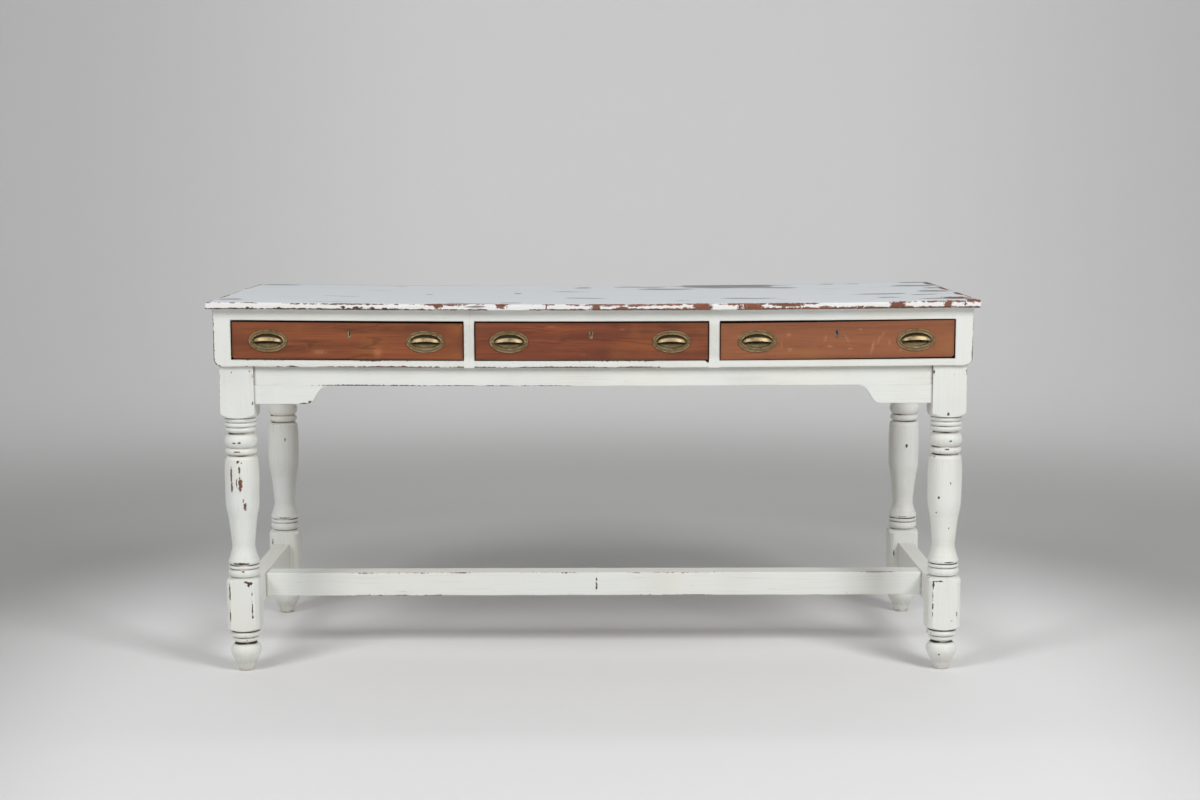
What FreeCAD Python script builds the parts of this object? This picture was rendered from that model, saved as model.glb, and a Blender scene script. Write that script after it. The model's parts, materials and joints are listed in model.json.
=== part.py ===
import FreeCAD, Part
import math
import os

# Console table: a three-drawer case standing on a frame of four turned legs, aprons and an H stretcher.
# Millimetres, +Z up, front towards -Y, origin on the floor under the centre of the top.

V = FreeCAD.Vector

# ---- overall ----
TOP_WIDTH = 1617.0
DEPTH = 625.0
HEIGHT = 800.0
TOP_THICKNESS = 15.0
TOP_EDGE_RADIUS = 4.0
TOP_CORNER_RADIUS = 7.0
BOARD_JOINTS_Y = (-115.0, 134.0)
TONGUE_DEPTH = 6.0
TONGUE_THICKNESS = 5.0

# ---- leg frame ----
LEG_SQUARE = 72.0
LEG_HEIGHT = 663.0
LEG_FRONT_SETBACK = 25.0
LEG_REAR_SETBACK = 2.0
LEG_CENTRE_X = 751.6
LOWER_SQUARE = 70.0
LOWER_CHAMFER = 9.0
LOWER_BLOCK_Z = (90.0, 205.0)
UPPER_BLOCK_Z = 551.5
COLUMN_RADIUS = 27.0

APRON_HEIGHT = 41.0
APRON_THICKNESS = 22.0
APRON_RECESS = 5.0
BRACKET_LENGTH = 153.0
BRACKET_HEIGHT = 40.0
TENON_LENGTH = 30.0
TENON_THICKNESS = 10.0
TENON_SHOULDER = 8.0

STRETCHER_TOP_Z = 175.0
SIDE_STRETCHER_X = (737.0, 775.0)
SIDE_STRETCHER_HEIGHT = 58.0
LONG_STRETCHER_Y = (-83.5, -34.5)
LONG_STRETCHER_HEIGHT = 53.0
LONG_TENON_LENGTH = 22.0
LONG_TENON_THICKNESS = 24.0

# ---- case ----
CASE_HALF_WIDTH = 797.0
CASE_FRONT_SETBACK = 18.0
CASE_REAR_SETBACK = 4.0
CASE_END_THICKNESS = 37.5
CASE_CORNER_RADIUS = 16.5
TOP_RAIL_HEIGHT = 24.0
BOTTOM_RAIL_HEIGHT = 15.0
RAIL_DEPTH = 60.0
DIVIDER_THICKNESS = 22.0
DIVIDER_CENTRES = (-260.5, 254.0)
BACK_THICKNESS = 16.0
RUNNER_WIDTH = 18.0
KICKER_CLEARANCE = 2.0
STOP_SIZE = (40.0, 12.0, 5.0)

# ---- drawers ----
DRAWERS = ("left", "middle", "right")
KEYHOLE_X = (-510.5, -4.5, 511.0)
PULL_X = ((-682.0, -352.0), (-177.0, 164.0), (344.0, 677.0))
PULL_Z = 718.0
KEYHOLE_Z = 737.0
DRAWER_LENGTH = 540.0
DRAWER_RECESS = 1.0
FRONT_THICKNESS = 18.0
FRONT_CORNER = 4.0
SIDE_GAP = 1.5
TOP_GAP = 2.0
BOTTOM_GAP = 1.0
SIDE_THICKNESS = 10.0
SIDE_HEIGHT = 76.0
RUNNING_GAP = 0.3
PANEL_THICKNESS = 7.0
PANEL_RAISE = 8.0
GROOVE_DEPTH = 5.0
TAIL_LENGTH = 12.0
TAIL_COUNT = 3
BACK_TOP_DROP = 4.0

# ---- pulls ----
PULL_HALF_WIDTH = 40.5
PULL_HALF_HEIGHT = 23.5
PULL_PLATE = 1.5
RIM_OUTER = 2.6
RIM_INNER = 3.4
RIM_WIDTH = 2.2
INNER_HALF_WIDTH = 33.0
INNER_HALF_HEIGHT = 17.0
HOOD_SEMI = (31.0, 15.0, 15.2)
HOOD_WALL = 1.6
HOOD_DROP = 2.0
PULL_SCREW_OFFSET = 36.0
PULL_SCREW_RADIUS = 1.2
PULL_SCREW_LENGTH = 13.0
PULL_SCREW_HEAD = 2.0

# ---- locks ----
LOCK_CASE = (64.0, 9.0, 38.0)
LOCK_WALL = 1.7
BOLT_WIDTH = 28.0
BOLT_HEIGHT = 31.0
BOLT_THROW = 6.0
BOLT_PLAY = 0.3
KEEPER_PLAY = 1.0
KEYHOLE_RADIUS = 1.9
KEYHOLE_SLOT = 2.2
KEYHOLE_DROP = 7.5
LINER_RADIUS = 4.5
LINER_LEG = 6.4
LINER_DROP = 12.5
LINER_DEPTH = 6.0

# ---- wood screws ----
TOP_SCREW = (2.0, 36.0, 4.0)
CASE_SCREW = (2.5, 75.0, 5.0)

# ---- levels and planes worked out from the driving dimensions ----
FRONT_Y = -DEPTH / 2
REAR_Y = DEPTH / 2
TOP_UNDERSIDE = HEIGHT - TOP_THICKNESS
LEG_FRONT_Y = FRONT_Y + LEG_FRONT_SETBACK + LEG_SQUARE / 2
LEG_REAR_Y = REAR_Y - LEG_REAR_SETBACK - LEG_SQUARE / 2
LEG_INNER_X = LEG_CENTRE_X - LEG_SQUARE / 2
CASE_FRONT_Y = FRONT_Y + CASE_FRONT_SETBACK
CASE_REAR_Y = REAR_Y - CASE_REAR_SETBACK
CASE_INNER_X = CASE_HALF_WIDTH - CASE_END_THICKNESS
CASE_BACK_Y = CASE_REAR_Y - BACK_THICKNESS
RAIL_REAR_Y = CASE_FRONT_Y + RAIL_DEPTH
OPENING_LOW = LEG_HEIGHT + BOTTOM_RAIL_HEIGHT
OPENING_HIGH = TOP_UNDERSIDE - TOP_RAIL_HEIGHT
FACE_Y = CASE_FRONT_Y + DRAWER_RECESS
FACE_BACK_Y = FACE_Y + FRONT_THICKNESS
FACE_LOW = OPENING_LOW + BOTTOM_GAP
FACE_HIGH = OPENING_HIGH - TOP_GAP
SIDE_LOW = OPENING_LOW + RUNNING_GAP
SIDE_HIGH = SIDE_LOW + SIDE_HEIGHT
PANEL_LOW = SIDE_LOW + PANEL_RAISE
PANEL_HIGH = PANEL_LOW + PANEL_THICKNESS
DRAWER_REAR_Y = FACE_Y + DRAWER_LENGTH
KICKER_LOW = SIDE_HIGH + KICKER_CLEARANCE


def box(x, y, z):
    """Block between the given pairs of X, Y and Z levels."""
    return Part.makeBox(x[1] - x[0], y[1] - y[0], z[1] - z[0], V(x[0], y[0], z[0]))


def export(name, shape):
    shape.exportStep("parts/" + name + ".step")


def group(solids):
    return Part.makeCompound(solids)


def line(start, end):
    return Part.LineSegment(V(start[0], 0, start[1]), V(end[0], 0, end[1])).toShape()


def arc(start, middle, end):
    points = [V(p[0], 0, p[1]) for p in (start, middle, end)]
    return Part.Arc(*points).toShape()


def spline(points):
    curve = Part.BSplineCurve()
    curve.interpolate([V(p[0], 0, p[1]) for p in points])
    return curve.toShape()


def revolve(edges):
    """Solid turned about the Z axis from an outline of (radius, height) edges."""
    face = Part.Face(Part.Wire(edges))
    return face.revolve(V(0, 0, 0), V(0, 0, 1), 360)


def mirrored_x(shape):
    return shape.mirror(V(0, 0, 0), V(1, 0, 0))


# ---------------------------------------------------------------- legs

def turned_column():
    """Foot, rings, vase and beads of a leg, as one turning."""
    top = LEG_HEIGHT - LEG_SQUARE
    edges = [
        line((0, 0), (15.6, 0)),
        spline([(15.6, 0), (17.8, 5), (22.3, 19), (29.8, 33), (32.8, 44), (30.4, 54), (23.0, 61)]),
        line((23.0, 61), (24.5, 65)),
        arc((24.5, 65), (28.0, 70.5), (24.5, 76)),
        arc((24.5, 76), (33.0, 81.5), (COLUMN_RADIUS, 88)),
        line((COLUMN_RADIUS, 88), (COLUMN_RADIUS, 206)),
        arc((COLUMN_RADIUS, 206), (33.3, 216), (30.0, 225)),
        arc((30.0, 225), (33.0, 229), (30.5, 233)),
        line((30.5, 233), (33.1, 238)),
        spline([(33.1, 238), (32.6, 243), (28.6, 254), (24.9, 269), (25.2, 284), (30.0, 330),
                (35.3, 361), (36.2, 395), (36.5, 436), (34.6, 463)]),
        arc((34.6, 463), (31.5, 467.5), (26.5, 470)),
        arc((26.5, 470), (33.5, 479), (29.5, 486)),
        arc((29.5, 486), (35.2, 502), (26.7, 517)),
        line((26.7, 517), (26.7, 520)),
        line((26.7, 520), (31.0, 521)),
        arc((31.0, 521), (33.7, 526.2), (31.0, 531.5)),
        arc((31.0, 531.5), (33.7, 536.7), (31.0, 542)),
        arc((31.0, 542), (33.7, 547), (31.0, 552)),
        line((31.0, 552), (31.0, top)),
        line((31.0, top), (0, top)),
        line((0, top), (0, 0)),
    ]
    return revolve(edges)


def upper_block():
    half = LEG_SQUARE / 2
    corner = half * math.sqrt(2) + 1
    low = UPPER_BLOCK_Z
    square = box((-half, half), (-half, half), (low, LEG_HEIGHT))
    mask = revolve([
        line((0, low), (33.0, low)),
        arc((33.0, low), (44.0, low + 3.5), (corner, low + 10)),
        line((corner, low + 10), (corner, LEG_HEIGHT)),
        line((corner, LEG_HEIGHT), (0, LEG_HEIGHT)),
        line((0, LEG_HEIGHT), (0, low)),
    ])
    return square.common(mask)


def lower_block():
    half = LOWER_SQUARE / 2
    low, high = LOWER_BLOCK_Z
    square = box((-half, half), (-half, half), (low, high))
    uprights = [edge for edge in square.Edges if abs(edge.tangentAt(edge.FirstParameter).z) > 0.9]
    square = square.makeChamfer(LOWER_CHAMFER, uprights)
    corner = half + LOWER_CHAMFER + 2
    mask = revolve([
        line((0, low), (29.0, low)),
        arc((29.0, low), (38.0, low + 2), (corner, low + 8)),
        line((corner, low + 8), (corner, high - 9)),
        arc((corner, high - 9), (38.0, high - 2), (29.0, high)),
        line((29.0, high), (0, high)),
        line((0, high), (0, low)),
    ])
    return square.common(mask)


def leg_blank():
    return turned_column().fuse([upper_block(), lower_block()]).removeSplitter()


# ---------------------------------------------------------------- rails, all with tenons at both ends

def rail_x(half_length, y, z, tenon_y, tenon_z, tenon_length):
    """Rail along X with a tenon past each end; returns the rail and its two tenons."""
    body = box((-half_length, half_length), y, z)
    right = box((half_length, half_length + tenon_length), tenon_y, tenon_z)
    tenons = [mirrored_x(right), right]
    return body.fuse(tenons).removeSplitter(), tenons


def rail_y(x, ends, z, tenon_x, tenon_z, tenon_length):
    """Rail along Y with a tenon past each end; returns the rail and its two tenons."""
    body = box(x, ends, z)
    tenons = [box(tenon_x, (ends[0] - tenon_length, ends[0]), tenon_z),
              box(tenon_x, (ends[1], ends[1] + tenon_length), tenon_z)]
    return body.fuse(tenons).removeSplitter(), tenons


def centred(pair, width):
    middle = (pair[0] + pair[1]) / 2
    return (middle - width / 2, middle + width / 2)


def inset(pair, margin):
    return (pair[0] + margin, pair[1] - margin)


def aprons():
    """Front, rear, left and right aprons between the upper leg blocks."""
    z = (LEG_HEIGHT - APRON_HEIGHT, LEG_HEIGHT)
    tenon_z = inset(z, TENON_SHOULDER)
    face = LEG_SQUARE / 2 - APRON_RECESS
    front_y = (LEG_FRONT_Y - face, LEG_FRONT_Y - face + APRON_THICKNESS)
    rear_y = (LEG_REAR_Y + face - APRON_THICKNESS, LEG_REAR_Y + face)
    right_x = (LEG_CENTRE_X + face - APRON_THICKNESS, LEG_CENTRE_X + face)
    ends = (LEG_FRONT_Y + LEG_SQUARE / 2, LEG_REAR_Y - LEG_SQUARE / 2)
    front, front_tenons = rail_x(LEG_INNER_X, front_y, z, centred(front_y, TENON_THICKNESS),
                                 tenon_z, TENON_LENGTH)
    rear, rear_tenons = rail_x(LEG_INNER_X, rear_y, z, centred(rear_y, TENON_THICKNESS),
                               tenon_z, TENON_LENGTH)
    right, right_tenons = rail_y(right_x, ends, z, centred(right_x, TENON_THICKNESS),
                                 tenon_z, TENON_LENGTH)
    left = mirrored_x(right)
    left_tenons = [mirrored_x(tenon) for tenon in right_tenons]
    shapes = {"apron_front": front, "apron_rear": rear, "apron_left": left, "apron_right": right}
    return shapes, front_tenons + rear_tenons + left_tenons + right_tenons


def bracket():
    """Shaped piece glued under the right end of the front apron, against the leg."""
    high = LEG_HEIGHT - APRON_HEIGHT
    low = high - BRACKET_HEIGHT
    start = LEG_INNER_X
    tip = start - BRACKET_LENGTH
    outline = Part.Wire([
        line((start, high), (start, low)),
        line((start, low), (start - 110, low)),
        arc((start - 110, low), (start - 117.4, low + 1.9), (start - 123, low + 7.3)),
        line((start - 123, low + 7.3), (start - 136.7, low + 29.7)),
        arc((start - 136.7, low + 29.7), (start - 143.6, low + 36.4), (tip, low + 39)),
        line((tip, low + 39), (tip, high)),
        line((tip, high), (start, high)),
    ])
    front = LEG_FRONT_Y - LEG_SQUARE / 2 + APRON_RECESS
    solid = Part.Face(outline).extrude(V(0, APRON_THICKNESS, 0))
    solid.translate(V(0, front, 0))
    return solid


def stretchers():
    """Side stretchers between the lower leg blocks, and the long one housed in them."""
    side_z = (STRETCHER_TOP_Z - SIDE_STRETCHER_HEIGHT, STRETCHER_TOP_Z)
    ends = (LEG_FRONT_Y + LOWER_SQUARE / 2, LEG_REAR_Y - LOWER_SQUARE / 2)
    right, right_tenons = rail_y(SIDE_STRETCHER_X, ends, side_z, centred(SIDE_STRETCHER_X, TENON_THICKNESS),
                                 inset(side_z, TENON_SHOULDER), TENON_LENGTH)
    long_z = (STRETCHER_TOP_Z - LONG_STRETCHER_HEIGHT, STRETCHER_TOP_Z)
    long_rail, long_tenons = rail_x(SIDE_STRETCHER_X[0], LONG_STRETCHER_Y, long_z,
                                    centred(LONG_STRETCHER_Y, LONG_TENON_THICKNESS),
                                    inset(long_z, TENON_SHOULDER), LONG_TENON_LENGTH)
    right = right.cut(long_tenons[1])
    left_tenons = [mirrored_x(tenon) for tenon in right_tenons]
    shapes = {"stretcher_left": mirrored_x(right), "stretcher_right": right, "stretcher_long": long_rail}
    return shapes, left_tenons + right_tenons


def build_frame():
    apron_shapes, apron_tenons = aprons()
    stretcher_shapes, stretcher_tenons = stretchers()
    screws = case_screws()
    for name in ("apron_left", "apron_right"):
        apron_shapes[name] = apron_shapes[name].cut(screws)
    for name, shape in {**apron_shapes, **stretcher_shapes}.items():
        export(name, shape)
    blank = leg_blank()
    for row, y in (("front", LEG_FRONT_Y), ("rear", LEG_REAR_Y)):
        for side, x in (("left", -LEG_CENTRE_X), ("right", LEG_CENTRE_X)):
            leg = blank.copy()
            leg.translate(V(x, y, 0))
            export("leg_" + row + "_" + side, leg.cut(apron_tenons + stretcher_tenons))
    right_bracket = bracket()
    export("bracket_front_right", right_bracket)
    export("bracket_front_left", mirrored_x(right_bracket))


# ---------------------------------------------------------------- screws of the case and the top

def wood_screw(radius, length, head_radius, x, y, head_z):
    """Countersunk screw driven upwards, its head face at head_z."""
    head_height = head_radius - radius
    head = Part.makeCone(head_radius, radius, head_height, V(x, y, head_z))
    shank = Part.makeCylinder(radius, length - head_height, V(x, y, head_z + head_height))
    return head.fuse(shank).removeSplitter()


def top_screws():
    """One screw up through each kicker into each board of the top."""
    middles = ((RAIL_REAR_Y + BOARD_JOINTS_Y[0]) / 2, sum(BOARD_JOINTS_Y) / 2,
               (BOARD_JOINTS_Y[1] + CASE_BACK_Y) / 2)
    screws = []
    for low, high in openings():
        for x in (low + RUNNER_WIDTH / 2, high - RUNNER_WIDTH / 2):
            screws += [wood_screw(*TOP_SCREW, x, y, KICKER_LOW) for y in middles]
    return screws


def case_screws():
    """Two long screws up through each side apron into the case end above it."""
    x = LEG_CENTRE_X + LEG_SQUARE / 2 - APRON_RECESS - APRON_THICKNESS / 2
    spread = 150.0
    middle = (LEG_FRONT_Y + LEG_REAR_Y) / 2
    head_z = LEG_HEIGHT - APRON_HEIGHT
    return [wood_screw(*CASE_SCREW, side * x, middle + step, head_z)
            for side in (-1, 1) for step in (-spread, spread)]


# ---------------------------------------------------------------- case

def openings():
    """X limits of the three drawer openings, from left to right."""
    half = DIVIDER_THICKNESS / 2
    first, second = DIVIDER_CENTRES
    return [(-CASE_INNER_X, first - half), (first + half, second - half), (second + half, CASE_INNER_X)]


def case_end():
    end = box((CASE_INNER_X, CASE_HALF_WIDTH), (CASE_FRONT_Y, CASE_REAR_Y), (LEG_HEIGHT, TOP_UNDERSIDE))
    lower_outer = [edge for edge in end.Edges
                   if edge.BoundBox.XMin > CASE_HALF_WIDTH - 1 and edge.BoundBox.ZMax < LEG_HEIGHT + 1]
    return end.makeFillet(CASE_CORNER_RADIUS, lower_outer)


def divider(x):
    """Full-depth upright, notched round the two front rails."""
    half = DIVIDER_THICKNESS / 2
    body = box((x - half, x + half), (RAIL_REAR_Y, CASE_BACK_Y), (LEG_HEIGHT, TOP_UNDERSIDE))
    nose = box((x - half, x + half), (CASE_FRONT_Y, RAIL_REAR_Y), (OPENING_LOW, OPENING_HIGH))
    return body.fuse(nose).removeSplitter()


def bolt_box(x, play, low, high):
    """Space of a lock bolt, widened by play on all four sides."""
    half = BOLT_WIDTH / 2 + play
    y_front = FACE_BACK_Y - LOCK_CASE[1] + LOCK_WALL + BOLT_PLAY
    y_rear = FACE_BACK_Y - LOCK_WALL - BOLT_PLAY
    return box((x - half, x + half), (y_front - play, y_rear + play), (low, high))


def top_rail():
    """Upper front rail, with a keeper mortise over each lock bolt."""
    rail = box((-CASE_INNER_X, CASE_INNER_X), (CASE_FRONT_Y, RAIL_REAR_Y), (OPENING_HIGH, TOP_UNDERSIDE))
    reach = FACE_HIGH + BOLT_THROW + KEEPER_PLAY
    return rail.cut([bolt_box(x, KEEPER_PLAY, OPENING_HIGH, reach) for x in KEYHOLE_X])


def strips(z):
    """A strip along both sides of each drawer opening, behind the front rails."""
    y = (RAIL_REAR_Y, CASE_BACK_Y)
    pairs = [[(low, low + RUNNER_WIDTH), (high - RUNNER_WIDTH, high)] for low, high in openings()]
    return [box(x, y, z) for pair in pairs for x in pair]


def drawer_stops():
    """Two small blocks behind each drawer front, on the bottom rail."""
    width, depth, height = STOP_SIZE
    y = (FACE_BACK_Y + RUNNING_GAP, FACE_BACK_Y + RUNNING_GAP + depth)
    blocks = []
    for low, high in openings():
        quarter = (high - low) / 4
        for x in (low + quarter, high - quarter):
            blocks.append(box((x - width / 2, x + width / 2), y, (OPENING_LOW, OPENING_LOW + height)))
    return blocks


def top_boards():
    """Three boards joined by tongues and grooves, with rounded outer edges."""
    half = TOP_WIDTH / 2
    slab = box((-half, half), (FRONT_Y, REAR_Y), (TOP_UNDERSIDE, HEIGHT))
    uprights = [edge for edge in slab.Edges if abs(edge.tangentAt(edge.FirstParameter).z) > 0.9]
    slab = slab.makeFillet(TOP_CORNER_RADIUS, uprights)
    rims = [edge for edge in slab.Edges
            if edge.BoundBox.ZMax - edge.BoundBox.ZMin < 1]
    slab = slab.makeFillet(TOP_EDGE_RADIUS, rims)
    first, second = BOARD_JOINTS_Y
    x = (-half, half)
    z = (TOP_UNDERSIDE, HEIGHT)
    tongue_z = centred(z, TONGUE_THICKNESS)
    front_tongue = box(x, (first - TONGUE_DEPTH, first), tongue_z)
    rear_tongue = box(x, (second, second + TONGUE_DEPTH), tongue_z)
    middle = box(x, (first, second), z).fuse([front_tongue, rear_tongue])
    screws = top_screws()
    return {
        "top_board_front": slab.common(box(x, (FRONT_Y, first), z).cut(front_tongue)).cut(screws),
        "top_board_middle": slab.common(middle).removeSplitter().cut(screws),
        "top_board_rear": slab.common(box(x, (second, REAR_Y), z).cut(rear_tongue)).cut(screws),
    }


def build_case():
    screws = case_screws()
    right_end = case_end()
    export("case_end_right", right_end.cut(screws))
    export("case_end_left", mirrored_x(right_end).cut(screws))
    export("case_divider_left", divider(DIVIDER_CENTRES[0]))
    export("case_divider_right", divider(DIVIDER_CENTRES[1]))
    inner = (-CASE_INNER_X, CASE_INNER_X)
    export("case_top_rail", top_rail())
    export("case_bottom_rail", box(inner, (CASE_FRONT_Y, RAIL_REAR_Y), (LEG_HEIGHT, OPENING_LOW)))
    export("case_back", box(inner, (CASE_BACK_Y, CASE_REAR_Y), (LEG_HEIGHT, TOP_UNDERSIDE)))
    export("drawer_runners", group(strips((LEG_HEIGHT, OPENING_LOW))))
    kicker_screws = top_screws()
    kickers = [strip.cut(kicker_screws) for strip in strips((KICKER_LOW, TOP_UNDERSIDE))]
    export("drawer_kickers", group(kickers))
    export("drawer_stops", group(drawer_stops()))
    export("case_screws", group(kicker_screws + screws))
    for name, board in top_boards().items():
        export(name, board)


# ---------------------------------------------------------------- pulls

def oval(half_width, half_height, y_front, y_rear, x):
    """Upright oval disc between two Y levels, centred on x at the height of the pulls."""
    ellipse = Part.Ellipse(V(0, 0, 0), half_width, half_height)
    disc = Part.Face(Part.Wire([ellipse.toShape()])).extrude(V(0, 0, y_rear - y_front))
    disc.rotate(V(0, 0, 0), V(1, 0, 0), 90)
    disc.translate(V(x, y_rear, PULL_Z))
    return disc


def oval_ring(half_width, half_height, width, height, x):
    outer = oval(half_width, half_height, FACE_Y - height, FACE_Y, x)
    inner = oval(half_width - width, half_height - width, FACE_Y - height - 1, FACE_Y + 1, x)
    return outer.cut(inner)


def ellipsoid(semi, x):
    ball = Part.makeSphere(1.0)
    scale = FreeCAD.Matrix()
    scale.scale(*semi)
    ball = ball.transformGeometry(scale)
    ball.translate(V(x, FACE_Y, PULL_Z))
    return ball


def hood(x):
    """Quarter of a thin ellipsoid: the finger hood over the upper half of the plate."""
    outer = ellipsoid(HOOD_SEMI, x)
    inner = ellipsoid([semi - HOOD_WALL for semi in HOOD_SEMI], x)
    reach = PULL_HALF_WIDTH
    keep = box((x - reach, x + reach), (FACE_Y - reach, FACE_Y - PULL_PLATE / 2),
               (PULL_Z - HOOD_DROP, PULL_Z + reach))
    return outer.cut(inner).common(keep)


def pull_screws(x):
    """Two small round-headed screws through the ends of the plate."""
    screws = []
    for side in (-1, 1):
        centre = x + side * PULL_SCREW_OFFSET
        shank = Part.makeCylinder(PULL_SCREW_RADIUS, PULL_SCREW_LENGTH,
                                  V(centre, FACE_Y - PULL_PLATE, PULL_Z), V(0, 1, 0))
        head = Part.makeSphere(PULL_SCREW_HEAD, V(centre, FACE_Y - PULL_PLATE, PULL_Z), V(0, 0, 1))
        reach = PULL_SCREW_HEAD + 1
        front_half = box((centre - reach, centre + reach), (FACE_Y - PULL_PLATE - reach, FACE_Y - PULL_PLATE),
                         (PULL_Z - reach, PULL_Z + reach))
        screws.append(shank.fuse(head.common(front_half)).removeSplitter())
    return screws


def pull(x):
    plate = oval(PULL_HALF_WIDTH, PULL_HALF_HEIGHT, FACE_Y - PULL_PLATE, FACE_Y, x)
    outer_rim = oval_ring(PULL_HALF_WIDTH, PULL_HALF_HEIGHT, RIM_WIDTH, RIM_OUTER, x)
    inner_rim = oval_ring(INNER_HALF_WIDTH, INNER_HALF_HEIGHT, RIM_WIDTH, RIM_INNER, x)
    return plate.fuse([outer_rim, inner_rim, hood(x)]).cut(pull_screws(x))


# ---------------------------------------------------------------- locks

def keyhole(x, y_front, y_rear):
    depth = y_rear - y_front
    round_hole = Part.makeCylinder(KEYHOLE_RADIUS, depth, V(x, y_front, KEYHOLE_Z), V(0, 1, 0))
    slot = box((x - KEYHOLE_SLOT / 2, x + KEYHOLE_SLOT / 2), (y_front, y_rear),
               (KEYHOLE_Z - KEYHOLE_DROP, KEYHOLE_Z))
    return round_hole.fuse(slot)


def escutcheon_blank(x):
    """Outline of the brass liner let in flush round the keyhole."""
    round_end = Part.makeCylinder(LINER_RADIUS, LINER_DEPTH, V(x, FACE_Y, KEYHOLE_Z), V(0, 1, 0))
    leg = box((x - LINER_LEG / 2, x + LINER_LEG / 2), (FACE_Y, FACE_Y + LINER_DEPTH),
              (KEYHOLE_Z - LINER_DROP, KEYHOLE_Z))
    return round_end.fuse(leg).removeSplitter()


def lock_blank(x):
    width, depth, height = LOCK_CASE
    return box((x - width / 2, x + width / 2), (FACE_BACK_Y - depth, FACE_BACK_Y),
               (FACE_HIGH - height, FACE_HIGH))


# ---------------------------------------------------------------- drawers

def tails(x, y_root, y_tip, z):
    """Dovetail tails between two Z levels, widening from the root to the tip."""
    pitch = (z[1] - z[0]) / TAIL_COUNT
    root_half = pitch * 0.30
    tip_half = pitch * 0.38
    solids = []
    for index in range(TAIL_COUNT):
        middle = z[0] + pitch * (index + 0.5)
        corners = [V(x[0], y_root, middle - root_half), V(x[0], y_tip, middle - tip_half),
                   V(x[0], y_tip, middle + tip_half), V(x[0], y_root, middle + root_half)]
        face = Part.Face(Part.makePolygon(corners + corners[:1]))
        solids.append(face.extrude(V(x[1] - x[0], 0, 0)))
    return solids


def front_board(x, first, last):
    """Drawer front; the outer drawers have their lower outside corner eased."""
    board = box(x, (FACE_Y, FACE_BACK_Y), (FACE_LOW, FACE_HIGH))
    eased = ([x[0]] if first else []) + ([x[1]] if last else [])
    edges = [edge for edge in board.Edges
             if edge.BoundBox.ZMax < FACE_LOW + 1
             and any(abs(edge.BoundBox.XMin - end) + abs(edge.BoundBox.XMax - end) < 1 for end in eased)]
    return board.makeChamfer(FRONT_CORNER, edges) if edges else board


def build_drawer(index, opening):
    prefix = "drawer_" + DRAWERS[index] + "_"
    x = inset(opening, SIDE_GAP)
    left_x = (x[0], x[0] + SIDE_THICKNESS)
    right_x = (x[1] - SIDE_THICKNESS, x[1])
    key_x = KEYHOLE_X[index]
    back_y = (DRAWER_REAR_Y - SIDE_THICKNESS, DRAWER_REAR_Y)
    back_z = (PANEL_HIGH, SIDE_HIGH - BACK_TOP_DROP)
    panel = box((left_x[1] - GROOVE_DEPTH, right_x[0] + GROOVE_DEPTH),
                (FACE_BACK_Y - GROOVE_DEPTH, DRAWER_REAR_Y), (PANEL_LOW, PANEL_HIGH))
    lock_case = lock_blank(key_x)
    key_way = keyhole(key_x, FACE_Y - 1, FACE_BACK_Y - LOCK_CASE[1] + LOCK_WALL + 1)
    liner = escutcheon_blank(key_x)
    screws = [screw for pull_x in PULL_X[index] for screw in pull_screws(pull_x)]

    front = front_board(x, index == 0, index == len(DRAWERS) - 1)
    back = box((left_x[0], right_x[1]), back_y, back_z)
    for side, side_x in (("left", left_x), ("right", right_x)):
        front_tails = tails(side_x, FACE_BACK_Y, FACE_BACK_Y - TAIL_LENGTH, (SIDE_LOW + 1, SIDE_HIGH))
        back_tails = tails(side_x, back_y[0], back_y[1], back_z)
        board = box(side_x, (FACE_BACK_Y, DRAWER_REAR_Y), (SIDE_LOW, SIDE_HIGH))
        board = board.cut(box(side_x, back_y, back_z)).fuse(front_tails + back_tails)
        export(prefix + "side_" + side, board.cut(panel).removeSplitter())
        front = front.cut(front_tails)
        back = back.cut(back_tails)
    export(prefix + "front", front.cut([panel, lock_case, key_way, liner] + screws))
    export(prefix + "back", back)
    export(prefix + "bottom", panel)
    for side, pull_x in zip(("left", "right"), PULL_X[index]):
        export(prefix + "pull_" + side, pull(pull_x))
    export(prefix + "pull_screws", group(screws))
    export(prefix + "escutcheon", liner.cut(key_way))
    bolt_low = FACE_HIGH - BOLT_HEIGHT
    pocket = bolt_box(key_x, BOLT_PLAY, bolt_low - BOLT_PLAY, FACE_HIGH + 1)
    export(prefix + "lock_case", lock_case.cut([pocket, key_way]))
    export(prefix + "lock_bolt", bolt_box(key_x, 0, bolt_low, FACE_HIGH - BOLT_PLAY))


def main():
    os.makedirs("parts", exist_ok=True)
    build_frame()
    build_case()
    for index, opening in enumerate(openings()):
        build_drawer(index, opening)


main()
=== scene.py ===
"""Looks of the console table: worn paint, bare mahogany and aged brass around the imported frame."""
import json
import math

import bmesh
import bpy
import numpy as np
from mathutils import Matrix, Vector

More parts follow.
